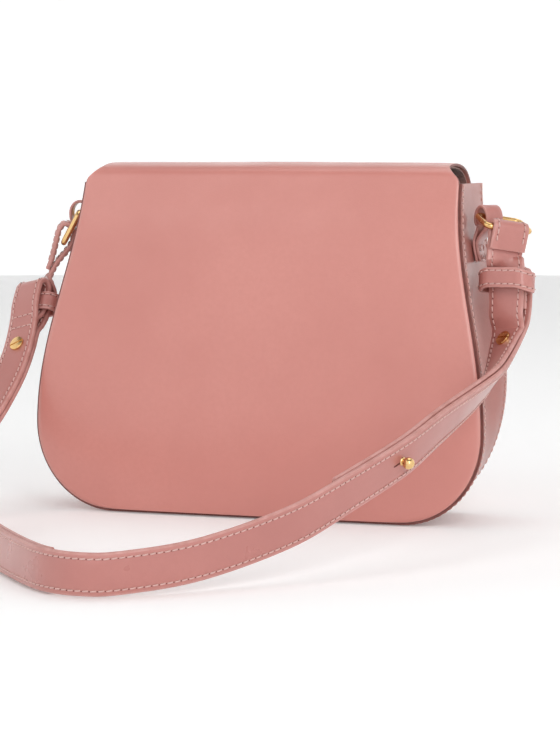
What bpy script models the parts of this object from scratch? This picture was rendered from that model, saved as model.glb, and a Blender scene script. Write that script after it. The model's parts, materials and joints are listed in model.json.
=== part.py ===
"""Saddle-style crossbody purse in smooth leather, modelled as its separate pieces.

Frame: metres, +Z up, origin at the centre of the flat base, +X to the purse's right side as seen
from behind, -Y towards the plain back panel, +Y towards the front that the flap covers.
Lists of points are written in millimetres and turned into metres by mm().
"""
import math

import bmesh
import bpy
from mathutils import Vector

MM = 0.001

# ---- driving dimensions of the body -------------------------------------------------------
BODY_WIDEST = 0.127          # half width at the widest level
BODY_TOP_HALF = 0.108        # half width at the mouth
BACK_WIDEST_Z = 0.048        # height of the widest level at the back
BACK_BASE_HALF = 0.082       # half length of the flat bottom at the back
FRONT_WIDEST = 0.1235
FRONT_WIDEST_Z = 0.072
FRONT_BASE_HALF = 0.072
MOUTH_Z = 0.181              # height of the mouth, where the flap's fold starts
BACK_Y = -0.031              # outer face of the back panel at the base
FRONT_Y = 0.031              # outer face of the front panel at the base
BACK_LEAN = 0.028            # how far the back panel leans in at LEAN_TOP_Z
LEAN_START_Z = 0.040
LEAN_TOP_Z = 0.188
FRONT_FLARE = 0.007          # how far the front panel leans out at the mouth
LEATHER = 0.0015             # thickness of the panels and the flap
GUSSET_LEATHER = 0.0018
LINING = 0.0008
GAP = 0.0003                 # clearance between pieces that touch
SEAM_INSET = 0.0015          # the panels' edges sit this far inside the gusset's rim
BACK_TOP_Z = 0.1803          # just below the flap's fold
GUSSET_TOP_Z = 0.179
FRONT_TOP_Z = 0.176
LINING_TOP_Z = 0.174
FOLD_DEPTH = 0.008           # how far the gusset tucks in at mid height
WASHER_ROOM = 0.0017         # space behind the front panel for the snap's washer

# ---- flap -------------------------------------------------------------------------------
FLAP_TOP_HALF = 0.099        # half width over the top fold
FLAP_WIDEST = 0.1115
FLAP_WIDEST_Z = 0.125
FLAP_TIP_HALF = 0.040
FLAP_TIP_Z = 0.062
FLAP_STANDOFF = 0.0070       # outer face of the flap in front of the front panel's outer face
HINGE_Y = -0.0059
HINGE_Z = 0.18115

# ---- snap --------------------------------------------------------------------------------
SNAP_Z = 0.084
SNAP_RADIUS = 0.0085
SNAP_THICKNESS = 0.0016

# ---- inside -------------------------------------------------------------------------------
BOARD_SIZE = (0.136, 0.044, 0.0016)
POCKET_HALF = 0.070
POCKET_Z = (0.058, 0.138)

# ---- rings and leather loops -----------------------------------------------------------------
RING_LENGTH = 0.0275
RING_WIDTH = 0.022
RING_WIRE = 0.0032
RING_CORNER = 0.0030         # corner radius of the wire's centre line
CHAPE_LEATHER = 0.0015
CHAPE_WIDTH = 0.011
CHAPE_LOOP = (0.0051, 0.0068)    # half width and half height of the loop's centre line
CHAPE_Z = (0.138, 0.148)     # the stitched stretch

# ---- strap ---------------------------------------------------------------------------------
STRAP_WIDTH = 0.020
STRAP_THICKNESS = 0.0026
ADJUSTER_THICKNESS = 0.0025
LAYER_STEP = 0.5 * (STRAP_THICKNESS + ADJUSTER_THICKNESS) + GAP
KEEPER_LEATHER = 0.0018
KEEPER_WIDTH = 0.0095
KEEPER_HALF = (0.0145, 0.0069)  # half length and half depth of the keeper's centre line
KEEPER_LIFT = 0.0030         # the keeper's run on the adjuster's side arches up this much
FOLD_RADIUS = 0.00365        # centre line of the strap's turned end
EASE = 0.0004                # the adjuster lies this much looser where it first meets the strap
LANDING_AT = 0.026           # where the adjuster comes to lie on the strap, from the turned end
TAB_LEAD = {"right": 0.0025, "left": 0.0015}    # the adjuster runs straight on from its tab this far
SCREW_AT = 0.0375            # screw's distance along the strap from its turned end
STUD_AT = 0.190
ADJUSTER_END = {"right": 0.240, "left": 0.368}
HEAD_GAP = 0.0010
SCREW_HEAD = 0.00425
POST_RADIUS = 0.0023
BALL_RADIUS = 0.00295

# ---- colours and finishes ------------------------------------------------------------------
PINK = (0.66, 0.31, 0.28, 1.0)
PALE_PINK = (0.74, 0.42, 0.39, 1.0)
LINING_PINK = (0.50, 0.30, 0.27, 1.0)
BOARD_GREY = (0.25, 0.20, 0.19, 1.0)
GOLD = (0.86, 0.58, 0.24, 1.0)


def mm(*values):
    """A point or direction written in millimetres, as a vector in metres."""
    return Vector(values) * MM


def clear_scene():
    for item in list(bpy.data.objects):
        bpy.data.objects.remove(item)


def material(name, colour, roughness, metallic=0.0):
    """One plain Principled material."""
    mat = bpy.data.materials.new(name)
    mat.use_nodes = True
    shader = mat.node_tree.nodes["Principled BSDF"]
    shader.inputs["Base Color"].default_value = colour
    shader.inputs["Roughness"].default_value = roughness
    shader.inputs["Metallic"].default_value = metallic
    mat.diffuse_color = colour
    return mat


def add_mesh(name, points, faces, mat, origin=Vector((0, 0, 0)), smooth=True):
    """A closed mesh object from points in world space; its origin is put at the given point."""
    mesh = bpy.data.meshes.new(name)
    mesh.from_pydata([tuple(Vector(point) - origin) for point in points], [], faces)
    build = bmesh.new()
    build.from_mesh(mesh)
    bmesh.ops.recalc_face_normals(build, faces=build.faces[:])
    build.to_mesh(mesh)
    build.free()
    mesh.materials.append(mat)
    if smooth:
        mesh.shade_smooth()
        mesh.set_sharp_from_angle(angle=math.radians(40))
    thing = bpy.data.objects.new(name, mesh)
    thing.location = origin
    bpy.context.collection.objects.link(thing)
    return thing


# ---- shape helpers -------------------------------------------------------------------------

def catmull(a, b, c, d, t):
    """Point at t between b and c on a Catmull-Rom curve."""
    return 0.5 * ((2 * b) + (c - a) * t + (2 * a - 5 * b + 4 * c - d) * t * t
                  + (3 * b - a - 3 * c + d) * t * t * t)


def smooth_route(stations, step):
    """Samples a smooth curve through (point, edge direction) stations about every step metres."""
    points = [station[0] for station in stations]
    edges = [station[1] for station in stations]
    out = []
    last = len(points) - 1
    for i in range(last):
        ids = (max(i - 1, 0), i, i + 1, min(i + 2, last))
        count = max(1, round((points[i + 1] - points[i]).length / step))
        for k in range(count):
            t = k / count
            out.append((catmull(*[points[j] for j in ids], t), catmull(*[edges[j] for j in ids], t)))
    out.append((points[last], edges[last]))
    return out


def frames(route):
    """Tangent, edge direction and normal at each sample of a route."""
    out = []
    for i, (point, edge) in enumerate(route):
        before = route[max(i - 1, 0)][0]
        after = route[min(i + 1, len(route) - 1)][0]
        tangent = (after - before).normalized()
        side = (edge - edge.dot(tangent) * tangent).normalized()
        out.append((point, tangent, side, side.cross(tangent)))
    return out


def ribbon(name, route, width, thickness, mat, origin=Vector((0, 0, 0))):
    """A flat strip of leather along a route, as one closed solid.

    Every strip's faces are split along the same diagonal, so that two strips lying on one another
    don't cut into each other where they twist.
    """
    points = []
    for point, _, side, normal in frames(route):
        for across, up in ((-1, -1), (1, -1), (1, 1), (-1, 1)):
            points.append(point + side * across * width / 2 + normal * up * thickness / 2)
    count = len(route)
    faces = [(0, 1, 2, 3), tuple(4 * (count - 1) + k for k in range(4))]
    for a in range(0, 4 * (count - 1), 4):
        b = a + 4
        faces += [(a, a + 1, b + 1), (a, b + 1, b), (a + 3, a + 2, b + 2), (a + 3, b + 2, b + 3)]
        faces += [(a + 1, a + 2, b + 2, b + 1), (a, a + 3, b + 3, b)]
    return add_mesh(name, points, faces, mat, origin)


def sheet(name, outer, inner, mat, origin=Vector((0, 0, 0))):
    """A closed skin between two grids of points with the same rows and columns."""
    rows = len(outer)
    cols = len(outer[0])
    points = [p for row in outer for p in row] + [p for row in inner for p in row]
    base = rows * cols

    def at(r, c, layer=0):
        return layer * base + r * cols + c

    faces = []
    for r in range(rows - 1):
        for c in range(cols - 1):
            for layer in (0, 1):
                near = (at(r, c, layer), at(r, c + 1, layer))
                faces.append(near + (at(r + 1, c + 1, layer), at(r + 1, c, layer)))
    for r in range(rows - 1):
        for c in (0, cols - 1):
            faces.append((at(r, c), at(r + 1, c), at(r + 1, c, 1), at(r, c, 1)))
    for c in range(cols - 1):
        for r in (0, rows - 1):
            faces.append((at(r, c), at(r, c + 1), at(r, c + 1, 1), at(r, c, 1)))
    return add_mesh(name, points, faces, mat, origin)


def turned(name, profile, centre, axis, mat, sides=16, origin=Vector((0, 0, 0))):
    """A solid of revolution: profile is (radius, height) from one pole to the other."""
    axis = axis.normalized()
    right = axis.orthogonal().normalized()
    up = axis.cross(right)
    points = []
    rings = []
    for radius, height in profile:
        if radius == 0:
            rings.append([len(points)])
            points.append(centre + axis * height)
            continue
        rings.append(list(range(len(points), len(points) + sides)))
        for k in range(sides):
            turn = 2 * math.pi * k / sides
            points.append(centre + axis * height + radius * (math.cos(turn) * right + math.sin(turn) * up))
    faces = []
    for low, high in zip(rings, rings[1:]):
        for k in range(sides):
            n = (k + 1) % sides
            if len(low) == 1:
                faces.append((low[0], high[n], high[k]))
            elif len(high) == 1:
                faces.append((low[k], low[n], high[0]))
            else:
                faces.append((low[k], low[n], high[n], high[k]))
    return add_mesh(name, points, faces, mat, origin)


# ---- outlines of the body --------------------------------------------------------------------

def half_width(z, base_half, widest, widest_z, inset):
    """Half width of the saddle outline at height z, drawn inset inside it."""
    if z < widest_z:
        fall = min(1.0, (widest_z - z) / (widest_z - inset))
        return base_half + (widest - inset - base_half) * math.sqrt(1 - fall * fall)
    rise = (z - widest_z) / (MOUTH_Z - widest_z)
    return BODY_TOP_HALF + (widest - BODY_TOP_HALF) * math.cos(0.5 * math.pi * rise) ** 2 - inset


def back_half(z, inset=0.0):
    return half_width(z, BACK_BASE_HALF, BODY_WIDEST, BACK_WIDEST_Z, inset)


def front_half(z, inset=0.0):
    return half_width(z, FRONT_BASE_HALF, FRONT_WIDEST, FRONT_WIDEST_Z, inset)


def back_y(z):
    """Outer face of the back panel at height z."""
    rise = max(0.0, z - LEAN_START_Z) / (LEAN_TOP_Z - LEAN_START_Z)
    return BACK_Y + BACK_LEAN * rise * rise


def front_y(z):
    """Outer face of the front panel at height z."""
    return FRONT_Y + FRONT_FLARE * z / MOUTH_Z


def heights(low, high, widest_z, rows):
    """Heights of a panel's rows: close together round the bottom corners, then even."""
    corner = [low + (widest_z - low) * (1 - math.cos(0.5 * math.pi * k / 7)) for k in range(7)]
    return corner + [widest_z + (high - widest_z) * k / rows for k in range(rows + 1)]


def panel(name, half, face, offset, thickness, inset, low, high, widest_z, mat, cols=10, rows=7):
    """One flat-lying panel: half(z) gives its outline and face(z) its outer surface."""
    outer = []
    inner = []
    for z in heights(low, high, widest_z, rows):
        span = half(z, inset)
        across = [span * (2 * c / cols - 1) for c in range(cols + 1)]
        outer.append([Vector((x, face(z) + offset, z)) for x in across])
        inner.append([Vector((x, face(z) + offset + thickness, z)) for x in across])
    return sheet(name, outer, inner, mat)


def build_panels(mats):
    """Back and front panels and their linings."""
    panel("back_panel", back_half, back_y, 0, LEATHER, SEAM_INSET, SEAM_INSET, BACK_TOP_Z, BACK_WIDEST_Z,
          mats["leather"], rows=9)
    panel("front_panel", front_half, front_y, -LEATHER, LEATHER, SEAM_INSET, SEAM_INSET, FRONT_TOP_Z,
          FRONT_WIDEST_Z, mats["leather"])
    low = GUSSET_LEATHER + LINING + 3 * GAP
    panel("back_lining", back_half, back_y, LEATHER + GAP, LINING, low, low, LINING_TOP_Z, BACK_WIDEST_Z,
          mats["lining"])
    panel("front_lining", front_half, front_y, -LEATHER - WASHER_ROOM - LINING, LINING, low, low,
          LINING_TOP_Z, FRONT_WIDEST_Z, mats["lining"])


# ---- gusset ----------------------------------------------------------------------------------

def outline_heights(top, inset, widest_z, side_rows, corner_rows):
    side = [top + (widest_z - top) * k / side_rows for k in range(side_rows)]
    turns = [0.5 * math.pi * (1 - k / corner_rows) for k in range(corner_rows + 1)]
    return side + [inset + (widest_z - inset) * (1 - math.cos(turn)) for turn in turns]


def outline(half, widest_z, top, inset, side_rows=9, corner_rows=8, base_cols=4):
    """(x, z) points down the right side, along the bottom and up the left side."""
    right = [(half(z, inset), z) for z in outline_heights(top, inset, widest_z, side_rows, corner_rows)]
    base = right[-1][0]
    bottom = [(base * (1 - 2 * k / base_cols), inset) for k in range(1, base_cols)]
    left = [(-x, z) for x, z in reversed(right)]
    return right + bottom + left


def tuck(z):
    """Depth of the gusset's inward fold at height z."""
    rise = min(1.0, max(0.0, (z - 0.020) / 0.045))
    fall = min(1.0, max(0.0, (0.142 - z) / 0.035))
    return FOLD_DEPTH * (rise * rise * (3 - 2 * rise)) * (fall * fall * (3 - 2 * fall))


def gusset_skin(inset, top, back_edge, front_edge, cols):
    """Grid of points of one surface of the gusset, from the back seam to the front seam."""
    back = outline(back_half, BACK_WIDEST_Z, top, inset)
    front = outline(front_half, FRONT_WIDEST_Z, top, inset)
    rows = []
    for (bx, bz), (fx, fz) in zip(back, front):
        start = Vector((bx, back_y(bz) + back_edge, bz))
        end = Vector((fx, front_y(fz) - front_edge, fz))
        row = []
        for c in range(cols + 1):
            v = c / cols
            point = start.lerp(end, v)
            rear = back_y(point.z) + LEATHER + GAP
            across = (point.y - rear) / (front_y(point.z) - LEATHER - GAP - rear)
            inward = -math.copysign(tuck(point.z), bx) * math.sin(math.pi * across) ** 2
            row.append(point + Vector((inward, 0, 0)))
        rows.append(row)
    return rows


def build_gusset(mats):
    """The strip that wraps sides and bottom, and its lining."""
    edge = LEATHER + GAP
    outer = gusset_skin(0.0, GUSSET_TOP_Z, edge, edge, 8)
    inner = gusset_skin(GUSSET_LEATHER, GUSSET_TOP_Z, edge, edge, 8)
    sheet("gusset", outer, inner, mats["leather"])
    depth = GUSSET_LEATHER + 3 * GAP
    back_edge = LEATHER + LINING + 3 * GAP
    front_edge = LEATHER + WASHER_ROOM + LINING + GAP
    outer = gusset_skin(depth, LINING_TOP_Z, back_edge, front_edge, 6)
    inner = gusset_skin(depth + LINING, LINING_TOP_Z, back_edge, front_edge, 6)
    sheet("gusset_lining", outer, inner, mats["lining"])


# ---- flap --------------------------------------------------------------------------------------

def flap_profile(depth):
    """Side view of the flap from the back fold over the top and down the front, depth inside it."""
    over = [(-5.6, 181.3), (-4.7, 184.0), (-2.2, 186.6), (2.5, 188.5), (10.0, 189.5), (20.0, 189.4),
            (30.0, 188.0), (38.0, 185.0), (42.8, 180.0), (44.6, 173.0)]
    top = [mm(0, y, z) for y, z in over]
    front_heights = [0.160, 0.146, 0.132, FLAP_WIDEST_Z]
    drop = FLAP_WIDEST_Z - FLAP_TIP_Z
    corner = [FLAP_WIDEST_Z - drop * math.sin(0.5 * math.pi * k / 7) for k in range(1, 8)]
    down = [Vector((0, front_y(z) + FLAP_STANDOFF, z)) for z in front_heights + corner]
    line = top + down
    out = []
    for i, point in enumerate(line):
        tangent = (line[min(i + 1, len(line) - 1)] - line[max(i - 1, 0)]).normalized()
        inward = Vector((0, tangent.z, -tangent.y))
        out.append(point + inward * depth)
    return out


def flap_half(y, z):
    """Half width of the flap at a point of its side view."""
    if z < FLAP_WIDEST_Z:
        fall = (FLAP_WIDEST_Z - z) / (FLAP_WIDEST_Z - FLAP_TIP_Z)
        return FLAP_TIP_HALF + (FLAP_WIDEST - FLAP_TIP_HALF) * math.sqrt(max(0.0, 1 - fall * fall))
    if y < 0.010:
        chamfer = min(1.0, (z - MOUTH_Z) / 0.0072)
        return BODY_TOP_HALF - SEAM_INSET + (FLAP_TOP_HALF - BODY_TOP_HALF + SEAM_INSET) * chamfer
    drop = min(1.0, max(0.0, (0.186 - z) / (0.186 - FLAP_WIDEST_Z)))
    return FLAP_TOP_HALF + (FLAP_WIDEST - FLAP_TOP_HALF) * drop * drop * (3 - 2 * drop)


def flap_skin(depth, inset, skip, cols):
    """Grid of one surface of the flap; skip leaves out rows at its fold."""
    rows = []
    spine = flap_profile(0.0)
    for guide, point in list(zip(spine, flap_profile(depth)))[skip:]:
        span = flap_half(guide.y, guide.z) - inset
        rows.append([Vector((span * (2 * c / cols - 1), point.y, point.z)) for c in range(cols + 1)])
    return rows


def build_flap(mats):
    """The flap's leather and its facing, both turning about the fold."""
    hinge = Vector((0, HINGE_Y, HINGE_Z))
    sheet("flap_panel", flap_skin(0.0, 0.0, 0, 10), flap_skin(LEATHER, 0.0, 0, 10), mats["leather"], hinge)
    depth = LEATHER + GAP
    sheet("flap_lining", flap_skin(depth, 0.0015, 3, 8), flap_skin(depth + LINING, 0.0015, 3, 8),
          mats["lining"], hinge)


# ---- snap ---------------------------------------------------------------------------------------

def build_snap(mats):
    """The magnetic snap between flap and front panel: two discs and a washer behind the panel."""
    out = Vector((0, MOUTH_Z, -FRONT_FLARE)).normalized()
    face = Vector((0, front_y(SNAP_Z), SNAP_Z))
    socket = [(0, 0), (SNAP_RADIUS, 0), (SNAP_RADIUS, SNAP_THICKNESS), (0.0035, SNAP_THICKNESS),
              (0.0035, 0.0008), (0, 0.0008)]
    turned("body_snap", socket, face + out * GAP, out, mats["gold"], 20)
    stud_base = 2 * GAP + SNAP_THICKNESS
    stud = [(0, -0.0006), (0.0029, -0.0006), (0.0029, 0), (SNAP_RADIUS, 0), (SNAP_RADIUS, SNAP_THICKNESS),
            (0, SNAP_THICKNESS)]
    hinge = Vector((0, HINGE_Y, HINGE_Z))
    turned("flap_snap", stud, face + out * stud_base, out, mats["gold"], 20, hinge)
    washer = [(0, 0), (SNAP_RADIUS, 0), (SNAP_RADIUS, 0.0009), (0, 0.0009)]
    turned("body_snap_washer", washer, face - out * (LEATHER + GAP + 0.0009), out, mats["gold"], 20)


# ---- inside ----------------------------------------------------------------------------------------

def build_inside(mats):
    """The base board and the slip pocket's panel."""
    floor = GUSSET_LEATHER + LINING + 4 * GAP
    long_half = BOARD_SIZE[0] / 2
    deep_half = BOARD_SIZE[1] / 2
    corners = [(-long_half, -deep_half), (long_half, -deep_half)]
    corners += [(long_half, deep_half), (-long_half, deep_half)]
    points = [Vector((x, y, floor + h)) for h in (0, BOARD_SIZE[2]) for x, y in corners]
    faces = [(0, 1, 2, 3), (4, 5, 6, 7)] + [(k, (k + 1) % 4, 4 + (k + 1) % 4, 4 + k) for k in range(4)]
    add_mesh("base_board", points, faces, mats["board"], smooth=False)
    near = LEATHER + GAP + LINING + 2 * GAP
    outer = []
    inner = []
    rows = 6
    for r in range(rows + 1):
        z = POCKET_Z[0] + (POCKET_Z[1] - POCKET_Z[0]) * r / rows
        across = [POCKET_HALF * (2 * c / 6 - 1) for c in range(7)]
        outer.append([Vector((x, back_y(z) + near, z)) for x in across])
        inner.append([Vector((x, back_y(z) + near + LINING, z)) for x in across])
    sheet("slip_pocket", outer, inner, mats["lining"])


# ---- the two ends of the strap -------------------------------------------------------------------------

class End:
    """Places and directions of one side's loop, ring, folded tab and keeper."""

    def __init__(self, side, loop, loop_axis, bar, bar_axis, reach, tab_down, fold, keeper, keeper_up,
                 keeper_edge, turn, fold_up, leg, run_in, slack):
        self.side = side
        self.fold_up = fold_up * MM               # the strap's fold is centred this far above the keeper
        self.fold = fold
        self.leg = leg
        self.run_in = run_in
        self.slack = slack                        # how far the adjuster stands off above the keeper
        self.loop = mm(*loop)
        self.loop_axis = Vector(loop_axis).normalized()
        self.bar = mm(*bar)                       # middle of the ring's bar that lies in the loop
        self.bar_axis = Vector(bar_axis).normalized()
        across = Vector(reach)
        self.reach = (across - across.dot(self.bar_axis) * self.bar_axis).normalized()
        down = Vector(tab_down)
        self.tab_down = (down - down.dot(self.bar_axis) * self.bar_axis).normalized()
        self.outer_bar = self.bar + self.reach * (RING_WIDTH - RING_WIRE)
        self.keeper = mm(*keeper)                 # middle of the adjuster where it passes the keeper
        self.up = Vector(keeper_up).normalized()
        edge = Vector(keeper_edge)
        self.edge = (edge - edge.dot(self.up) * self.up).normalized()
        self.out = turn * self.up.cross(self.edge)   # towards the shoulder strap's outer face

    def at(self, along_edge, outwards, upwards):
        """A point near the keeper, from the middle of the adjuster."""
        return self.keeper + self.edge * along_edge + self.out * outwards + self.up * upwards


# Middle line of the adjuster's folded end, as (towards the short leg, down) from the ring's outer bar.
SNUG_FOLD = [(1.4, 11.0), (1.7, 9.5), (2.6, 4.5), (3.15, 0.0), (2.73, -1.6), (1.6, -2.73), (0.0, -3.15),
             (-1.6, -2.73), (-2.73, -1.6), (-3.15, 0.0), (-2.6, 4.5), (-1.7, 9.5), (-1.4, 12.0)]
LOOSE_FOLD = [(1.4, 17.5), (1.8, 13.0), (2.6, 8.0), (4.2, 1.2), (5.5, -4.5), (5.0, -8.6), (2.4, -10.2),
              (-0.6, -9.6), (-3.0, -6.8), (-4.2, -2.0), (-3.7, 3.0), (-2.2, 9.0), (-1.4, 14.0), (-1.4, 18.0)]

# Middle line of the strap's short leg, as (outwards, upwards) from the keeper, up to where its fold begins.
HANGING_LEG = [(3.6, -13.5), (3.3, -9.0), (3.15, -3.0)]
SEWN_LEG = [(7.5, -15.0), (7.1, -11.5), (4.4, -7.8), (3.15, -3.5), (3.15, 2.0)]

# Where each adjuster goes between the keeper and the strap it comes to lie on, as (along its edge,
# outwards, upwards) from the keeper.
RIGHT_RUN_IN = [(0.0, -0.1, -11.0), (0.0, 0.1, -17.5)]
LEFT_RUN_IN = [(0.4, 1.4, -10.0), (0.9, 3.9, -16.0)]

RIGHT = End("right", loop=(119.0, 7.4, 160.3), loop_axis=(0.6, 0.8, 0), bar=(123.4, 10.2, 160.6),
            bar_axis=(0.80, 0.58, -0.15), reach=(0.60, -0.74, -0.28), tab_down=(0, 0, -1), fold=SNUG_FOLD,
            keeper=(132.2, -4, 127.5), keeper_up=(0, 0.1, 1), keeper_edge=(0.985, -0.17, 0), turn=1,
            fold_up=3.1, leg=HANGING_LEG, run_in=RIGHT_RUN_IN, slack=-0.6)
LEFT = End("left", loop=(-120.4, 17.7, 161), loop_axis=(-0.25, 0.97, 0), bar=(-121.1, 17.4, 161.5),
           bar_axis=(0.4, -0.917, 0), reach=(-0.5, 0, -0.866), tab_down=(-0.484, 0, -0.875),
           fold=LOOSE_FOLD, keeper=(-139.6, 2.4, 108.3), keeper_up=(0, 0.50, 0.866),
           keeper_edge=(0.92, -0.37, 0.14), turn=-1, fold_up=8.3, leg=SEWN_LEG,
           run_in=LEFT_RUN_IN, slack=-2.0)

FOLD_OUT = 0.01045           # outer leg of the strap's turned end, from the middle of the adjuster

# The strap's middle line from its right end to its left end, with the direction towards its inner
# long edge: down in front of the back panel, along the floor on its edge, and back up on the left.
STRAP_STATIONS = [
    ((134.4, 5.2, 121.0), (0.97, -0.20, 0.00)), ((134.5, 4.0, 114.0), (0.97, -0.21, 0.05)),
    ((134.4, 1.4, 106.5), (0.96, -0.22, 0.15)), ((134.0, -6.0, 96.5), (0.88, -0.27, 0.40)),
    ((134.6, -21.0, 86.5), (0.74, -0.26, 0.62)), ((135.0, -40.0, 78.5), (0.62, -0.24, 0.75)),
    ((133.6, -60.0, 73.5), (0.53, -0.20, 0.83)), ((132.2, -80.0, 69.5), (0.42, -0.25, 0.87)),
    ((127.3, -114.0, 61.5), (0.24, -0.34, 0.91)), ((119.0, -146.0, 50.5), (0.10, -0.37, 0.92)),
    ((103.0, -182.0, 37.5), (0.02, -0.35, 0.94)), ((85.0, -217.0, 25.0), (-0.06, -0.27, 0.96)),
    ((56.0, -256.0, 14.5), (-0.05, -0.18, 0.98)), ((29.0, -283.0, 11.0), (0.00, -0.12, 0.99)),
    ((13.0, -291.0, 10.8), (0.00, -0.08, 1.00)), ((-6.0, -285.0, 10.8), (0.00, 0.00, 1.00)),
    ((-26.0, -267.0, 10.8), (0.03, 0.03, 1.00)), ((-59.0, -228.0, 10.8), (0.10, 0.05, 0.99)),
    ((-87.0, -190.0, 11.0), (0.28, 0.11, 0.95)), ((-112.0, -150.0, 16.0), (0.44, 0.11, 0.89)),
    ((-133.0, -110.0, 27.0), (0.67, 0.10, 0.74)), ((-142.5, -76.0, 43.0), (0.88, 0.02, 0.47)),
    ((-142.8, -53.0, 58.5), (0.97, -0.10, 0.21)), ((-141.6, -34.5, 74.0), (0.97, -0.21, 0.12)),
    ((-141.2, -21.5, 89.0), (0.96, -0.25, 0.13)), ((-142.2, -12.5, 102.0), (0.95, -0.28, 0.15)),
    ((-143.3, -8.0, 111.0), (0.93, -0.32, 0.17)),
]


def fold_points(end):
    """The strap's turned end from its short leg, over the keeper, to the top of its outer leg."""
    points = [end.at(0, out * MM, up * MM) for out, up in end.leg]
    steps = 6
    for k in range(steps + 1):
        turn = math.pi * k / steps
        outwards = FOLD_OUT - FOLD_RADIUS * (1 + math.cos(turn))
        points.append(end.at(0, outwards, end.fold_up + FOLD_RADIUS * math.sin(turn)))
    return [(point, end.edge) for point in points]


def strap_main_route():
    """Samples of the strap between its two folds."""
    stations = [(mm(*point), Vector(edge)) for point, edge in STRAP_STATIONS]
    first = (RIGHT.at(0, FOLD_OUT, RIGHT.fold_up), RIGHT.edge)
    last = (LEFT.at(0, FOLD_OUT, LEFT.fold_up), LEFT.edge)
    return smooth_route([first] + stations + [last], 0.0065)


def distances(route):
    """Running length of a route at each of its samples."""
    out = [0.0]
    for (before, _), (after, _) in zip(route, route[1:]):
        out.append(out[-1] + (after - before).length)
    return out


def frame_along(route, wanted):
    """Point, tangent, edge and normal of a route at a distance along it."""
    run = distances(route)
    placed = frames(route)
    for i in range(len(run) - 1):
        if run[i + 1] >= wanted:
            t = (wanted - run[i]) / (run[i + 1] - run[i])
            here, there = placed[i], placed[i + 1]
            mixed = [a.lerp(b, t) for a, b in zip(here, there)]
            return mixed[:1] + [direction.normalized() for direction in mixed[1:]]
    return placed[-1]


def adjuster_route(end, main):
    """The adjuster from below the ring's tab, through the keeper and along the strap's inner side."""
    length = distances(main)[-1]
    beside = []
    for run, (point, _, edge, normal) in zip(distances(main), frames(main)):
        along = run if end is RIGHT else length - run
        if LANDING_AT <= along <= ADJUSTER_END[end.side]:
            ease = EASE * max(0.0, 1 - (along - LANDING_AT) / 0.009)
            beside.append((point - normal * (LAYER_STEP + ease), edge))
    landing = beside[0] if end is RIGHT else beside[-1]
    start, down = tab_end(end)
    turning = end.bar_axis.lerp(end.edge, 0.9).normalized()
    above = end.at(0, end.slack * MM, max(0.0070, end.fold_up + 0.0024))
    stations = [(start, end.bar_axis), (start + down * TAB_LEAD[end.side], end.bar_axis), (above, turning),
                (end.at(0, 0, -0.0045), end.edge)]
    for i, place in enumerate(end.run_in):
        stations.append((end.at(*[value * MM for value in place]), end.edge.lerp(landing[1], 0.25 * (i + 1))))
    run_in = smooth_route(stations + [landing], 0.006)[:-1]
    if end is RIGHT:
        return run_in + beside
    return beside + run_in[::-1]


def tab_points(end):
    """The adjuster's folded end: short leg, round the ring's outer bar, and down the main leg."""
    outwards = end.tab_down.cross(end.bar_axis)      # towards the short leg
    return [end.outer_bar + (outwards * across + end.tab_down * down) * MM for across, down in end.fold]


def tab_end(end):
    """Where the adjuster goes on below the tab, and the direction it leaves in."""
    points = tab_points(end)
    down = (points[-1] - points[-2]).normalized()
    return points[-1] + down * 0.0008, down


def ring_line(end):
    """Centre line of the ring: a rectangle with round corners."""
    long_half = (RING_LENGTH - RING_WIRE) / 2
    wide_half = (RING_WIDTH - RING_WIRE) / 2
    middle = end.bar + end.reach * wide_half
    points = []
    for quarter, (sx, sy) in enumerate(((1, 1), (-1, 1), (-1, -1), (1, -1))):
        for k in range(6):
            turn = 0.5 * math.pi * (quarter + k / 5)
            x = sx * (long_half - RING_CORNER) + RING_CORNER * math.cos(turn)
            y = sy * (wide_half - RING_CORNER) + RING_CORNER * math.sin(turn)
            points.append(middle + end.bar_axis * x + end.reach * y)
    return points


def build_ring(end, mats):
    """The oblong brass ring, with its origin on the bar that turns in the loop."""
    line = ring_line(end)
    flat = end.bar_axis.cross(end.reach).normalized()
    sides = 8
    points = []
    for i, point in enumerate(line):
        tangent = (line[(i + 1) % len(line)] - line[i - 1]).normalized()
        inward = flat.cross(tangent)
        for k in range(sides):
            turn = 2 * math.pi * k / sides
            points.append(point + RING_WIRE / 2 * (math.cos(turn) * inward + math.sin(turn) * flat))
    faces = []
    for i in range(len(line)):
        n = (i + 1) % len(line)
        for k in range(sides):
            m = (k + 1) % sides
            faces.append((i * sides + k, i * sides + m, n * sides + m, n * sides + k))
    add_mesh("ring_" + end.side, points, faces, mats["gold"], end.bar)


def build_chape(end, mats):
    """The leather loop that is stitched flat on the gusset and turns round the ring's bar."""
    sign = math.copysign(1, end.loop.x)
    square = Vector((0, 1, 0))
    outwards = end.loop_axis.cross(Vector((0, 0, 1)))
    if outwards.x * sign < 0:
        outwards = -outwards
    axis = end.loop_axis if end.loop_axis.dot(square) > 0 else -end.loop_axis

    def on_gusset(z, layer):
        off = GAP * (1 + layer) + CHAPE_LEATHER * (0.5 + layer)
        return Vector((sign * (max(back_half(z), front_half(z)) + off), end.loop.y, z))

    wide, tall = CHAPE_LOOP
    route = [(on_gusset(CHAPE_Z[0], 0), square), (on_gusset(CHAPE_Z[1], 0), square)]
    for k in range(9):
        turn = math.pi * (1.25 - 1.5 * k / 8)
        point = end.loop + outwards * wide * math.cos(turn) + Vector((0, 0, tall * math.sin(turn)))
        route.append((point, axis))
    route += [(on_gusset(CHAPE_Z[1], 1), square), (on_gusset(CHAPE_Z[0], 1), square)]
    ribbon("chape_" + end.side, route, CHAPE_WIDTH, CHAPE_LEATHER, mats["leather"])


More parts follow.
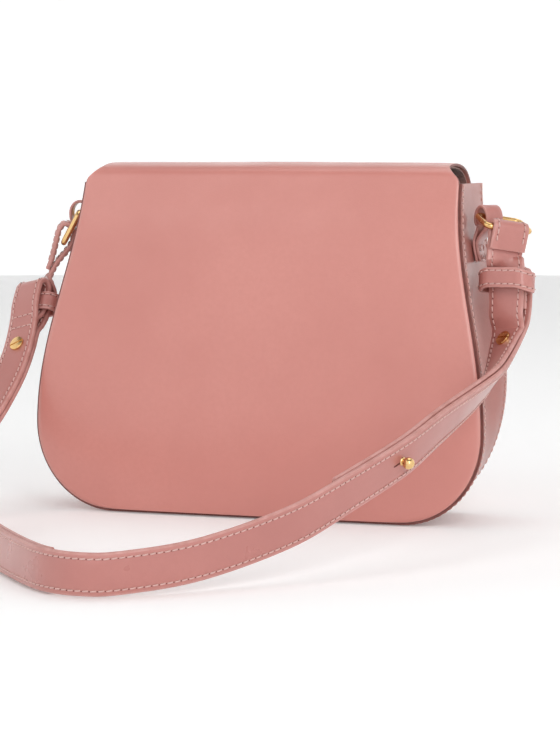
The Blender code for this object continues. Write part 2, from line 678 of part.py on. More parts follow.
def build_keeper(end, mats):
    """The loose leather band that holds the layers together, caught in the strap's fold."""
    long_half, deep_half = KEEPER_HALF
    middle_out = FOLD_OUT - FOLD_RADIUS - deep_half
    route = []
    corner = deep_half
    for side in (1, -1):
        for k in range(7):
            turn = math.pi * (k / 6 - 0.5)
            across = side * (long_half - corner + corner * math.cos(turn))
            depth = side * corner * math.sin(turn)
            lift = KEEPER_LIFT * max(0.0, -depth / deep_half) * math.cos(0.4 * math.pi * across / long_half)
            route.append((end.at(across, middle_out + depth, lift), end.up))
    points = []
    count = len(route)
    for i in range(count):
        tangent = (route[(i + 1) % count][0] - route[i - 1][0])
        tangent = (tangent - tangent.dot(end.up) * end.up).normalized()
        normal = end.up.cross(tangent)
        for across, up in ((-1, -1), (1, -1), (1, 1), (-1, 1)):
            points.append(route[i][0] + end.up * across * KEEPER_WIDTH / 2 + normal * up * KEEPER_LEATHER / 2)
    faces = []
    for i in range(count):
        n = (i + 1) % count
        for k in range(4):
            m = (k + 1) % 4
            faces.append((4 * i + k, 4 * i + m, 4 * n + m, 4 * n + k))
    add_mesh("keeper_" + end.side, points, faces, mats["leather"])


def stack_frame(end, main, distance):
    """Middle of the strap-and-adjuster stack at a distance from one end, and its outward normal."""
    along = distance if end is RIGHT else distances(main)[-1] - distance
    point, _, _, normal = frame_along(main, along)
    return point - normal * LAYER_STEP / 2, normal


def build_fasteners(end, main, mats):
    """The two-part screw and the ball stud that fasten the adjuster to the strap."""
    stack = LAYER_STEP / 2 + STRAP_THICKNESS / 2 + HEAD_GAP
    under = LAYER_STEP / 2 + ADJUSTER_THICKNESS / 2 + HEAD_GAP
    centre, normal = stack_frame(end, main, SCREW_AT)
    head = 0.0010
    bore = 0.0016
    post = [(0, stack + head), (SCREW_HEAD, stack + head), (SCREW_HEAD, stack), (POST_RADIUS, stack),
            (POST_RADIUS, -under + 0.0002), (bore, -under + 0.0002), (bore, stack - 0.0006),
            (0, stack - 0.0006)]
    turned("screw_post_" + end.side, post, centre, normal, mats["gold"], 14)
    shank = bore - 0.0003
    screw = [(0, stack - 0.0012), (shank, stack - 0.0012), (shank, -under), (SCREW_HEAD, -under),
             (SCREW_HEAD, -under - head), (0, -under - head)]
    turned("strap_screw_" + end.side, screw, centre, normal, mats["gold"], 14)
    centre, normal = stack_frame(end, main, STUD_AT)
    ball = BALL_RADIUS
    neck = 0.0016
    middle = stack + 0.0008 + ball * 0.85
    rounds = [0.5 * math.pi * (1 - k / 4) for k in range(1, 4)]
    rounds += [-0.5 * math.pi * k / 5 for k in range(0, 3)]
    stud = [(0, middle + ball)] + [(ball * math.cos(a), middle + ball * math.sin(a)) for a in rounds]
    stud += [(neck, middle - ball * 0.85), (neck, -under + 0.0002), (0.0009, -under + 0.0002),
             (0.0009, middle - ball), (0, middle - ball)]
    turned("strap_stud_" + end.side, stud, centre, normal, mats["gold"], 14)
    base = [(0, middle - ball - 0.0005), (0.0006, middle - ball - 0.0005), (0.0006, -under), (0.0032, -under),
            (0.0032, -under - head), (0, -under - head)]
    turned("stud_screw_" + end.side, base, centre, normal, mats["gold"], 14)


def drill(thing, centre, normal, radius, name):
    """A round hole through a strap: a hidden cutter and an exact Boolean."""
    cutter = turned(name, [(0, -0.006), (radius, -0.006), (radius, 0.006), (0, 0.006)], centre, normal,
                    thing.data.materials[0], 12)
    cutter.hide_render = True
    cutter.display_type = "WIRE"
    cut = thing.modifiers.new(name, "BOOLEAN")
    cut.operation = "DIFFERENCE"
    cut.solver = "EXACT"
    cut.object = cutter


def build_strap(mats):
    """Shoulder strap, adjusters, folded tabs, keepers and their fasteners."""
    main = strap_main_route()
    whole = fold_points(RIGHT)[:-1] + main + fold_points(LEFT)[::-1][1:]
    strap = ribbon("shoulder_strap", whole, STRAP_WIDTH, STRAP_THICKNESS, mats["strap"])
    for end in (RIGHT, LEFT):
        adjuster = ribbon("adjuster_strap_" + end.side, adjuster_route(end, main), STRAP_WIDTH,
                          ADJUSTER_THICKNESS, mats["strap"])
        tab = [(point, end.bar_axis) for point in tab_points(end)]
        ribbon("strap_tab_" + end.side, tab, STRAP_WIDTH, ADJUSTER_THICKNESS, mats["strap"], end.bar)
        build_keeper(end, mats)
        build_fasteners(end, main, mats)
        for label, distance, radius in (("screw", SCREW_AT, POST_RADIUS), ("stud", STUD_AT, 0.0016)):
            centre, normal = stack_frame(end, main, distance)
            for thing in (strap, adjuster):
                drill(thing, centre, normal, radius + GAP, "cut_%s_%s_%s" % (label, end.side, thing.name[:4]))


def main():
    clear_scene()
    mats = {
        "leather": material("smooth_leather", PINK, 0.32),
        "strap": material("strap_leather", PALE_PINK, 0.36),
        "lining": material("lining_cloth", LINING_PINK, 0.85),
        "board": material("stiff_board", BOARD_GREY, 0.9),
        "gold": material("pale_brass", GOLD, 0.22, 1.0),
    }
    build_panels(mats)
    build_gusset(mats)
    build_flap(mats)
    build_snap(mats)
    build_inside(mats)
    for end in (RIGHT, LEFT):
        build_chape(end, mats)
        build_ring(end, mats)
    build_strap(mats)


main()
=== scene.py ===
"""Looks of the crossbody purse: leather shells, flat strap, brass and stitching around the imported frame.

Everything is in metres in the frame of the CAD model: +Z up, -Y towards the plain back panel.
Lists of points are written in millimetres and turned into metres by mm().
"""
import json
import math

import bmesh
import bpy
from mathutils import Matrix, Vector

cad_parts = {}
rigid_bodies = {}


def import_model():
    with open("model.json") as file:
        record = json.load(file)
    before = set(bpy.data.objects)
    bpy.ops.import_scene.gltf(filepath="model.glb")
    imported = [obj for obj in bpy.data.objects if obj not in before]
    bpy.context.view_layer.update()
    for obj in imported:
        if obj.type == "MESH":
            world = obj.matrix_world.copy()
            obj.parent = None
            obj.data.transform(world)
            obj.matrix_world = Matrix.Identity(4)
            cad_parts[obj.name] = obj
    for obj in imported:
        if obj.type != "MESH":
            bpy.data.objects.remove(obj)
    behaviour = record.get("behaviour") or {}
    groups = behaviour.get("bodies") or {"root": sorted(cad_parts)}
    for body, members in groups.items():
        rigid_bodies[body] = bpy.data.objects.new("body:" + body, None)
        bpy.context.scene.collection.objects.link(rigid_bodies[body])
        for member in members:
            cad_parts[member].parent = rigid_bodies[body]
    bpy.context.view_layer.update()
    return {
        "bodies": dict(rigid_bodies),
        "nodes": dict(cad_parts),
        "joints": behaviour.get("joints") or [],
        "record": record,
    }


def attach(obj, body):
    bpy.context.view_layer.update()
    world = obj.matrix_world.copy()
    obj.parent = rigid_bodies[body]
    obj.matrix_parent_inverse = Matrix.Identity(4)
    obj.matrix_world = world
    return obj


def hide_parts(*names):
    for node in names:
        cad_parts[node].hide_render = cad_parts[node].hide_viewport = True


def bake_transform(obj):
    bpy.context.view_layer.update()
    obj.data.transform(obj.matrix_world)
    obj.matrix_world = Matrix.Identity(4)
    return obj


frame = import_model()

MM = 0.001
UP = Vector((0, 0, 1))

# ---- body, as in the CAD model ----
BODY_WIDEST = 0.127
BODY_TOP_HALF = 0.108
BACK_WIDEST_Z = 0.048
BACK_BASE_HALF = 0.082
FRONT_WIDEST = 0.1235
FRONT_WIDEST_Z = 0.072
FRONT_BASE_HALF = 0.072
MOUTH_Z = 0.181
BACK_Y = -0.031
FRONT_Y = 0.031
BACK_LEAN = 0.028
LEAN_START_Z = 0.040
LEAN_TOP_Z = 0.188
FRONT_FLARE = 0.007
LEATHER = 0.0015
GUSSET_LEATHER = 0.0018
LINING = 0.0008
GAP = 0.0003
SEAM_INSET = 0.0015
BACK_TOP_Z = 0.1803
GUSSET_TOP_Z = 0.179
FRONT_TOP_Z = 0.176
LINING_TOP_Z = 0.174
FOLD_DEPTH = 0.008
TUCK_LOW_Z = 0.020
TUCK_RISE = 0.045
TUCK_TOP_Z = 0.142
TUCK_FALL = 0.035
WASHER_ROOM = 0.0017
FLAP_TOP_HALF = 0.099
FLAP_WIDEST = 0.1115
FLAP_WIDEST_Z = 0.125
FLAP_TIP_HALF = 0.040
FLAP_TIP_Z = 0.062
FLAP_STANDOFF = 0.0070
FLAP_FRONT_Y = 0.010
FLAP_CHAMFER = 0.0072
FLAP_SHOULDER_Z = 0.186
FLAP_SWELL = 0.0005
FOLD_SWELL = 0.0003
BACK_SWELL = 0.0018
SWELL_TOP_Z = 0.184
SWELL_FADE = 0.030
FACING_START = 9

# Side view of the flap's top from the fold to the front, in millimetres as (y, z).
FLAP_TOP_LINE = [(-5.6, 181.3), (-4.7, 184.0), (-2.2, 186.6), (2.5, 188.5), (10.0, 189.5),
                 (20.0, 189.4), (30.0, 188.0), (38.0, 185.0), (42.8, 180.0), (44.6, 173.0)]
POCKET_HALF = 0.070
POCKET_Z = (0.058, 0.138)
SNAP_Z = 0.084
SNAP_RADIUS = 0.0085
SNAP_THICKNESS = 0.0016
WASHER = 0.0009

# ---- strap, rings and loops, as in the CAD model ----
RING_LENGTH = 0.0275
RING_WIDTH = 0.022
RING_WIRE = 0.0032
RING_CORNER = 0.0030
CHAPE_LEATHER = 0.0015
CHAPE_WIDTH = 0.011
CHAPE_LOOP = (0.0051, 0.0068)
CHAPE_Z = (0.138, 0.148)
STRAP_WIDTH = 0.020
STRAP_THICKNESS = 0.0026
ADJUSTER_THICKNESS = 0.0025
LAYER_STEP = 0.5 * (STRAP_THICKNESS + ADJUSTER_THICKNESS) + GAP
STACK_TOP = (LAYER_STEP + STRAP_THICKNESS) / 2
STACK_LOW = -(LAYER_STEP + ADJUSTER_THICKNESS) / 2
KEEPER_LEATHER = 0.0018
KEEPER_WIDTH = 0.0108
KEEPER_HALF = (0.0145, 0.0069)
KEEPER_LIFT = 0.0030
FOLD_RADIUS = 0.00365
FOLD_OUT = 0.01045
EASE = 0.0004
EASE_RUN = 0.009
TAB_SPLIT = 0.0008
LANDING_AT = 0.026
TAB_LEAD = {"right": 0.0025, "left": 0.0015}
SCREW_AT = 0.0375
STUD_AT = 0.190
ADJUSTER_END = {"right": 0.240, "left": 0.368}
SCREW_HEAD = 0.00425
STUD_HEAD = 0.0034
SCREW_SLOT = 0.0008
BALL_RADIUS = 0.00295

# ---- stitching ----
STITCH_PITCH = 0.0036
STITCH_LENGTH = 0.0028
STITCH_RADIUS = 0.00038
STITCH_INSET = 0.0027
STITCH_START = 0.002
BAND_INSET = 0.0019
CHAPE_INSET = 0.0020
CHAPE_ROW = 0.0018
STRAP_CROSS_ROWS = (0.055, 0.062)
TAB_CROSS_ROWS = (0.001, 0.0095)
GUSSET_ROWS = (0.055, 0.945)
HOLE_RADIUS = 0.00030

# A stitch from end to end, as (along in half lengths, lift and thickness in thread radii).
STITCH_SHAPE = [(-1.0, -0.30, 0.45), (-0.78, 0.32, 0.9), (-0.3, 0.62, 1.0),
                (0.3, 0.62, 1.0), (0.78, 0.32, 0.9), (1.0, -0.30, 0.45)]

# ---- camera and light ----
LENS = 127.3
CAMERA_PLACE = (0.4765, -1.352, 0.201)
CAMERA_TILT = 84.99
CAMERA_TURN = 19.24
WHITE = (0.93, 0.93, 0.93)
FLOOR_GLOW = 0.12
WALL_GLOW = 0.36
WORLD_GLOW = 0.24
KEY_POWER = 2.4
SIDE_POWER = 5.5
TOP_POWER = 7.0
SWEEP_SIDES = 72

# Half section of the round white sweep, as (distance from the purse, height).
SWEEP_PROFILE = [(0.5, 0.0), (2.6, 0.0), (3.1, 0.1), (3.45, 0.4), (3.6, 0.9), (3.6, 3.5)]


def mm(*values):
    """A point or direction written in millimetres, as a vector in metres."""
    return Vector(values) * MM


def clamped(value):
    """The value, held between 0 and 1."""
    return min(1.0, max(0.0, value))


def soft_step(value):
    """Rises softly from 0 to 1 as the value does."""
    t = clamped(value)
    return t * t * (3 - 2 * t)


def square_to(direction, axis):
    """The direction turned until it is square to the axis."""
    return (direction - direction.dot(axis) * axis).normalized()


def circle(centre, radius, right, up, sides):
    """Points round a circle in the plane of two directions."""
    turns = [2 * math.pi * k / sides for k in range(sides)]
    return [centre + radius * (math.cos(turn) * right + math.sin(turn) * up) for turn in turns]


# ---- camera ----

def make_camera():
    data = bpy.data.cameras.new("camera")
    data.lens = LENS
    data.sensor_width = 36.0
    data.clip_end = 20.0
    cam = bpy.data.objects.new("camera", data)
    cam.location = CAMERA_PLACE
    cam.rotation_euler = (math.radians(CAMERA_TILT), 0.0, math.radians(CAMERA_TURN))
    bpy.context.collection.objects.link(cam)
    bpy.context.scene.camera = cam


make_camera()


# ---- mesh helpers ----

def add_mesh(name, points, faces, mats, picks=None, sharp=38):
    """A mesh object from points and faces; picks gives each face's material."""
    mesh = bpy.data.meshes.new(name)
    mesh.from_pydata([tuple(point) for point in points], [], faces)
    for mat in mats:
        mesh.materials.append(mat)
    if picks:
        mesh.polygons.foreach_set("material_index", picks)
    build = bmesh.new()
    build.from_mesh(mesh)
    bmesh.ops.recalc_face_normals(build, faces=build.faces[:])
    build.to_mesh(mesh)
    build.free()
    mesh.shade_smooth()
    mesh.set_sharp_from_angle(angle=math.radians(sharp))
    thing = bpy.data.objects.new(name, mesh)
    bpy.context.collection.objects.link(thing)
    return thing


def band_faces(start, size, count, ring=False):
    """Faces between neighbouring loops of size points each, for count loops from point start on."""
    faces = []
    for r in range(count if ring else count - 1):
        near = start + r * size
        far = start + (r + 1) % count * size
        for c in range(size):
            d = (c + 1) % size
            faces.append((near + c, near + d, far + d, far + c))
    return faces


def cap_faces(start, size):
    """Faces that close a loop of an even or odd number of points, from its ends to its middle."""
    faces = []
    low, high = start, start + size - 1
    while high - low > 2:
        faces.append((low, low + 1, high - 1, high))
        low += 1
        high -= 1
    if high - low == 2:
        faces.append((low, low + 1, high))
    return faces


def loft(name, loops, mats, rim, sharp=38, ring=False):
    """A closed skin over loops of equal length; rim lists the loop edges that show the cut leather.

    With ring=True the last loop joins the first, and otherwise both ends are closed.
    """
    size = len(loops[0])
    points = [point for loop in loops for point in loop]
    faces = band_faces(0, size, len(loops), ring)
    picks = [1 if k % size in rim else 0 for k in range(len(faces))]
    if not ring:
        caps = cap_faces(0, size) + cap_faces(len(points) - size, size)
        faces += caps
        picks += [1] * len(caps)
    return add_mesh(name, points, faces, mats, picks, sharp)


def long_edges(cols):
    """Loop edges at the two cut sides of a panel with cols faces across its outer and inner face."""
    return set(range(cols, cols + 3)) | set(range(2 * cols + 3, 2 * cols + 6))


def strip_section(width, thickness):
    """Cross-section of a strip with rounded long edges, as (across, up), and its rim edges."""
    r = thickness * 0.5
    half = width / 2 - r * 0.8
    right = [(half + 0.8 * r * math.cos(a), r * math.sin(a)) for a in
             (math.radians(d) for d in (90, 50, 15, -15, -50, -90))]
    left = [(-across, -up) for across, up in right]
    middle = [(half * k / 2, -r) for k in (1, 0, -1)]
    top = [(-half * k / 2, r) for k in (1, 0, -1)]
    section = right + middle + left + top
    rim = set(range(0, 5)) | set(range(9, 14))
    return section, rim


def strip(name, route, width, thickness, mats, sharp=38):
    """A strap of leather along a route of (point, edge direction), with painted rounded edges."""
    section, rim = strip_section(width, thickness)
    loops = []
    for point, _, side, normal in frames(route):
        loops.append([point + side * across + normal * up for across, up in section])
    return loft(name, loops, mats, rim, sharp)


# ---- curves ----

def catmull(a, b, c, d, t):
    """Point at t between b and c on a Catmull-Rom curve."""
    return 0.5 * ((2 * b) + (c - a) * t + (2 * a - 5 * b + 4 * c - d) * t * t
                  + (3 * b - a - 3 * c + d) * t * t * t)


def between(route, i, t):
    """Point and edge direction at t between samples i and i + 1 of a route, on a smooth curve."""
    last = len(route) - 1
    ids = (max(i - 1, 0), i, i + 1, min(i + 2, last))
    return tuple(catmull(*[route[j][part] for j in ids], t) for part in (0, 1))


def smooth_route(stations, step):
    """Samples a smooth curve through (point, edge direction) stations about every step metres."""
    out = []
    for i in range(len(stations) - 1):
        count = max(1, round((stations[i + 1][0] - stations[i][0]).length / step))
        out += [between(stations, i, k / count) for k in range(count)]
    return out + [stations[-1]]


def refined(route, parts):
    """The same route with parts samples for each of its stretches."""
    out = [between(route, i, k / parts) for i in range(len(route) - 1) for k in range(parts)]
    return out + [route[-1]]


def frames(route):
    """Point, tangent, edge direction and normal at each sample of a route."""
    out = []
    for i, (point, edge) in enumerate(route):
        before = route[max(i - 1, 0)][0]
        after = route[min(i + 1, len(route) - 1)][0]
        tangent = (after - before).normalized()
        side = square_to(edge, tangent)
        out.append((point, tangent, side, side.cross(tangent)))
    return out


def distances(route):
    """Running length of a route at each of its samples."""
    out = [0.0]
    for before, after in zip(route, route[1:]):
        out.append(out[-1] + (after[0] - before[0]).length)
    return out


def frame_along(route, wanted):
    """Point, tangent, edge and normal of a route at a distance along it."""
    run = distances(route)
    placed = frames(route)
    for i in range(len(run) - 1):
        if run[i + 1] >= wanted:
            t = (wanted - run[i]) / (run[i + 1] - run[i])
            mixed = [a.lerp(b, t) for a, b in zip(placed[i], placed[i + 1])]
            return mixed[:1] + [direction.normalized() for direction in mixed[1:]]
    return placed[-1]


# ---- materials ----

class Nodes:
    """A material under construction: adds nodes and links with little writing."""

    def __init__(self, name, colour, roughness, metallic=0.0, specular=0.5):
        self.mat = bpy.data.materials.new(name)
        self.mat.use_nodes = True
        self.tree = self.mat.node_tree
        self.shader = self.tree.nodes["Principled BSDF"]
        self.shader.inputs["Base Color"].default_value = (*colour, 1.0)
        self.shader.inputs["Roughness"].default_value = roughness
        self.shader.inputs["Metallic"].default_value = metallic
        self.shader.inputs["Specular IOR Level"].default_value = specular
        self.coords = self.add("ShaderNodeTexCoord").outputs["Object"]

    def add(self, kind, **values):
        node = self.tree.nodes.new(kind)
        for key, value in values.items():
            setattr(node, key, value)
        return node

    def link(self, source, target):
        self.tree.links.new(source, target)

    def texture(self, kind, output, options, **inputs):
        """A texture node over the object's own coordinates."""
        node = self.add(kind, **options)
        for label, value in inputs.items():
            node.inputs[label].default_value = value
        self.link(self.coords, node.inputs["Vector"])
        return node.outputs[output]

    def noise(self, scale, detail=3.0, rough=0.5):
        return self.texture("ShaderNodeTexNoise", "Fac", {}, Scale=scale, Detail=detail, Roughness=rough)

    def cells(self, scale):
        return self.texture("ShaderNodeTexVoronoi", "Distance", {"feature": "SMOOTH_F1"}, Scale=scale)

    def bands(self, scale, direction, distortion):
        options = {"bands_direction": direction}
        return self.texture("ShaderNodeTexWave", "Fac", options, Scale=scale, Distortion=distortion)

    def math(self, operation, a, b):
        node = self.add("ShaderNodeMath", operation=operation)
        for slot, value in zip(node.inputs, (a, b)):
            if isinstance(value, float):
                slot.default_value = value
            else:
                self.link(value, slot)
        return node.outputs["Value"]

    def spread(self, fac, low, high, out_low=0.0, out_high=1.0):
        """Maps low..high to out_low..out_high."""
        node = self.add("ShaderNodeMapRange")
        self.link(fac, node.inputs["Value"])
        ends = {"From Min": low, "From Max": high, "To Min": out_low, "To Max": out_high}
        for label, value in ends.items():
            node.inputs[label].default_value = value
        return node.outputs["Result"]

    def blend_colour(self, fac, a, b):
        """A colour between a and b; a or b may be a colour or another node's output."""
        node = self.add("ShaderNodeMix", data_type="RGBA")
        self.link(fac, node.inputs["Factor"])
        for label, value in (("A", a), ("B", b)):
            slot = [s for s in node.inputs if s.name == label and s.type == "RGBA"][0]
            if isinstance(value, tuple):
                slot.default_value = (*value, 1.0)
            else:
                self.link(value, slot)
        return [s for s in node.outputs if s.type == "RGBA"][0]

    def colour(self, source):
        self.link(source, self.shader.inputs["Base Color"])

    def rough(self, source):
        self.link(source, self.shader.inputs["Roughness"])

    def bump(self, height, strength, distance):
        node = self.add("ShaderNodeBump")
        node.inputs["Strength"].default_value = strength
        node.inputs["Distance"].default_value = distance
        self.link(height, node.inputs["Height"])
        self.link(node.outputs["Normal"], self.shader.inputs["Normal"])

    def convex(self):
        """How strongly the surface bulges here, for wear along edges."""
        return self.add("ShaderNodeNewGeometry").outputs["Pointiness"]


def leather(name, colour, deep, worn, roughness, coat):
    """Smooth dyed leather: cloudy dye, fine pores, faint creases and paler edges."""
    mat = Nodes(name, colour, roughness)
    cloud = mat.spread(mat.noise(11.0, 4.0, 0.55), 0.34, 0.68)
    fleck = mat.spread(mat.noise(420.0, 2.0), 0.35, 0.75, 0.0, 0.35)
    dyed = mat.blend_colour(cloud, colour, deep)
    dyed = mat.blend_colour(fleck, dyed, deep)
    wear = mat.spread(mat.convex(), 0.515, 0.58, 0.0, 0.55)
    mat.colour(mat.blend_colour(wear, dyed, worn))
    mat.rough(mat.spread(mat.noise(45.0, 4.0), 0.3, 0.7, roughness - 0.05, roughness + 0.07))
    pores = mat.math("MULTIPLY", mat.cells(1500.0), 0.55)
    creases = mat.math("MULTIPLY", mat.noise(170.0, 5.0, 0.62), 0.9)
    mat.bump(mat.math("ADD", pores, creases), 0.22, 0.00035)
    mat.shader.inputs["Coat Weight"].default_value = coat
    mat.shader.inputs["Coat Roughness"].default_value = 0.20
    return mat.mat


def edge_paint(name, colour, deep):
    """Rubbery paint with slight waves for rims: pale as real edge paint, dark as painted shade of the seam
    groove.
    """
    mat = Nodes(name, colour, 0.42)
    mat.colour(mat.blend_colour(mat.spread(mat.noise(160.0, 3.0), 0.35, 0.7), colour, deep))
    mat.bump(mat.noise(600.0, 3.0), 0.25, 0.0002)
    return mat.mat


def woven(name, colour, deep, pitch):
    """Plain-woven cotton lining."""
    mat = Nodes(name, colour, 0.86)
    warp = mat.bands(pitch, "X", 1.2)
    weft = mat.bands(pitch, "Z", 1.2)
    depth = mat.bands(pitch, "Y", 1.2)
    weave = mat.math("MULTIPLY", mat.math("ADD", warp, depth), weft)
    mat.colour(mat.blend_colour(mat.spread(weave, 0.1, 1.2), deep, colour))
    mat.bump(weave, 0.5, 0.0003)
    mat.shader.inputs["Sheen Weight"].default_value = 0.25
    return mat.mat


def metal(name, colour, deep, roughness):
    """Polished plated brass with faint smears and hairline scratches."""
    mat = Nodes(name, colour, roughness, 1.0)
    mat.colour(mat.blend_colour(mat.spread(mat.noise(60.0, 3.0), 0.4, 0.75), colour, deep))
    mat.rough(mat.spread(mat.noise(220.0, 4.0), 0.3, 0.75, roughness - 0.05, roughness + 0.09))
    mat.bump(mat.noise(900.0, 2.0), 0.05, 0.0001)
    return mat.mat


def thread(name, colour, deep):
    """Waxed thread with its twist."""
    mat = Nodes(name, colour, 0.55)
    twist = mat.bands(1100.0, "DIAGONAL", 0.4)
    mat.colour(mat.blend_colour(twist, deep, colour))
    mat.bump(twist, 0.4, 0.0002)
    return mat.mat


def matt(name, colour, deep, scale):
    """A dull surface with specks, for the painted shade of holes and slits, for board and floor."""
    mat = Nodes(name, colour, 0.92, 0.0, 0.2)
    mat.colour(mat.blend_colour(mat.spread(mat.noise(scale, 4.0), 0.35, 0.7), colour, deep))
    mat.bump(mat.noise(scale * 3, 3.0), 0.1, 0.0002)
    return mat.mat


PANEL = leather("panel_leather", colour=(0.625, 0.250, 0.212), deep=(0.570, 0.215, 0.182),
                worn=(0.72, 0.38, 0.34), roughness=0.33, coat=0.30)
# Painted shade: the gusset is the same leather as the panel, given a darker colour to stand in for the
# shade along the purse's sides.
GUSSET_PAINTED_SHADE = leather("gusset_leather_painted_shade", colour=(0.430, 0.158, 0.132), deep=(0.370, 0.128, 0.106),
               worn=(0.58, 0.28, 0.24), roughness=0.33, coat=0.30)
STRAP = leather("strap_leather", colour=(0.520, 0.205, 0.178), deep=(0.460, 0.172, 0.150),
                worn=(0.66, 0.34, 0.30), roughness=0.31, coat=0.32)
PAINT = edge_paint("edge_paint", (0.60, 0.30, 0.27), (0.50, 0.22, 0.19))
# Painted shade: this dark paint on the rims of the panels and the gusset stands in for the shaded groove of
# the seam between them.
GROOVE_SHADE_PAINT = edge_paint("groove_shade_edge_paint", (0.26, 0.085, 0.070), (0.18, 0.055, 0.045))
CLOTH = woven("lining_cotton", (0.46, 0.26, 0.22), (0.30, 0.155, 0.13), 420.0)
BRASS = metal("plated_brass", (0.84, 0.56, 0.25), (0.72, 0.42, 0.15), 0.20)
THREAD = thread("waxed_thread", (0.80, 0.54, 0.50), (0.62, 0.37, 0.33))
# Painted shade: dark plugs and sheets standing in for the shade inside stitch holes and the stud's slit.
HOLE_AND_SLIT_SHADE = matt("painted_hole_and_slit_shade", (0.16, 0.055, 0.045), (0.10, 0.034, 0.028), 900.0)
BOARD = matt("grey_board", (0.16, 0.13, 0.12), (0.11, 0.09, 0.085), 350.0)


# ---- outlines of the body ----

def half_width(z, base_half, widest, widest_z, inset):
    """Half width of the saddle outline at height z, drawn inset inside it."""
    if z < widest_z:
        fall = min(1.0, (widest_z - z) / (widest_z - inset))
        return base_half + (widest - inset - base_half) * math.sqrt(1 - fall * fall)
    rise = (z - widest_z) / (MOUTH_Z - widest_z)
    return BODY_TOP_HALF + (widest - BODY_TOP_HALF) * math.cos(0.5 * math.pi * rise) ** 2 - inset


def back_half(z, inset=0.0):
    return half_width(z, BACK_BASE_HALF, BODY_WIDEST, BACK_WIDEST_Z, inset)


def front_half(z, inset=0.0):
    return half_width(z, FRONT_BASE_HALF, FRONT_WIDEST, FRONT_WIDEST_Z, inset)


def back_y(z):
    """Outer face of the back panel at height z."""
    rise = max(0.0, z - LEAN_START_Z) / (LEAN_TOP_Z - LEAN_START_Z)
    return BACK_Y + BACK_LEAN * rise * rise


def front_y(z):
    """Outer face of the front panel at height z."""
    return FRONT_Y + FRONT_FLARE * z / MOUTH_Z


def panel_heights(low, high, widest_z, corners=18, rows=26):
    """Heights of a panel's rows: close together round the bottom corners, then even."""
    corner = [low + (widest_z - low) * (1 - math.cos(0.5 * math.pi * k / corners)) for k in range(corners)]
    return corner + [widest_z + (high - widest_z) * k / rows for k in range(rows + 1)]


def flap_half(y, z):
    """Half width of the flap at a point of its side view."""
    if z < FLAP_WIDEST_Z:
        fall = (FLAP_WIDEST_Z - z) / (FLAP_WIDEST_Z - FLAP_TIP_Z)
        return FLAP_TIP_HALF + (FLAP_WIDEST - FLAP_TIP_HALF) * math.sqrt(max(0.0, 1 - fall * fall))
    if y < FLAP_FRONT_Y:
        chamfer = clamped((z - MOUTH_Z) / FLAP_CHAMFER)
        return BODY_TOP_HALF - SEAM_INSET + (FLAP_TOP_HALF - BODY_TOP_HALF + SEAM_INSET) * chamfer
    drop = soft_step((FLAP_SHOULDER_Z - z) / (FLAP_SHOULDER_Z - FLAP_WIDEST_Z))
    return FLAP_TOP_HALF + (FLAP_WIDEST - FLAP_TOP_HALF) * drop


def flap_line():
    """Side view of the flap's outer face from the fold over the top and down the front."""
    line = [mm(0, y, z) for y, z in FLAP_TOP_LINE]
    line += [Vector((0, front_y(z) + FLAP_STANDOFF, z)) for z in (0.160, 0.146, 0.132, FLAP_WIDEST_Z)]
    smooth = [point for point, _ in refined([(point, UP) for point in line], 3)]
    drop = FLAP_WIDEST_Z - FLAP_TIP_Z
    rows = 18
    for k in range(1, rows + 1):
        z = FLAP_WIDEST_Z - drop * math.sin(0.5 * math.pi * k / rows)
        smooth.append(Vector((0, front_y(z) + FLAP_STANDOFF, z)))
    return smooth


def edge_closer(t):
    """Moves even steps from -1 to 1 closer together near both ends."""
    return math.sin(0.5 * math.pi * t) * 0.6 + t * 0.4


def fullness(part):
    """Swell of a panel at a part of its half width: level in the middle, rolled over at the edge."""
    return 0.6 * (1 - part ** 6) + 0.4 * (1 - part ** 34)


def unevenness(x, z):
    """Slight waves of the leather at a place on a panel."""
    return math.sin(31 * x + 17 * z + 0.7) + 0.7 * math.sin(63 * x - 41 * z)


def shell_loop(point, inward, span, cols, start, thickness, ripple, crown):
    """Points round a panel at one point of its side view: outer face, edge, inner face, edge."""
    def at(x, depth):
        return Vector((x, point.y, point.z)) + inward * depth

    outer = []
    for c in range(cols + 1):
        step = 2 * c / cols - 1
        x = span * edge_closer(step)
        full = crown * fullness(min(1.0, abs(x / span)))
        calm = math.cos(0.5 * math.pi * step) ** 0.5 if 0 < c < cols else 0.0
        outer.append(at(x, start + ripple * calm * unevenness(x, point.z) - full))
    inner = [at(span * edge_closer(1 - 2 * c / cols), start + thickness) for c in range(cols + 1)]
    wide = span + 0.2 * thickness
    right = [at(wide, start + part * thickness) for part in (0.25, 0.75)]
    left = [at(-wide, start + part * thickness) for part in (0.75, 0.25)]
    return outer + right + inner + left


def shell(name, spine, spans, thickness, mats, cols=30, ripple=0.0, start=0.0, turn=1, crowns=None):
    """A panel of leather or cloth over a side view: spans gives its half width at each point.

    start is how far the outer face lies inside the side view, and turn is -1 where the inside of
    the panel lies towards -Y. The outer face is slightly uneven by ripple, and swells by crowns
    in the middle and rolls over at its long edges.
    """
    loops = []
    for i, (point, span) in enumerate(zip(spine, spans)):
        along = (spine[min(i + 1, len(spine) - 1)] - spine[max(i - 1, 0)]).normalized()
        inward = Vector((0, along.z, -along.y)) * turn
        crown = crowns[i] if crowns else 0.0
        loops.append(shell_loop(point, inward, span, cols, start, thickness, ripple, crown))
    return loft(name, loops, mats, long_edges(cols), 50)


def eased(spine, low, far, rounds):
    """The side view with its fold made rounder, between height low and distance far to the front."""
    points = list(spine)
    for _ in range(rounds):
        middle = [(a + b * 2 + c) / 4 if b.z > low and b.y < far else b
                  for a, b, c in zip(points, points[1:], points[2:])]
        points = [points[0]] + middle + [points[-1]]
    return points


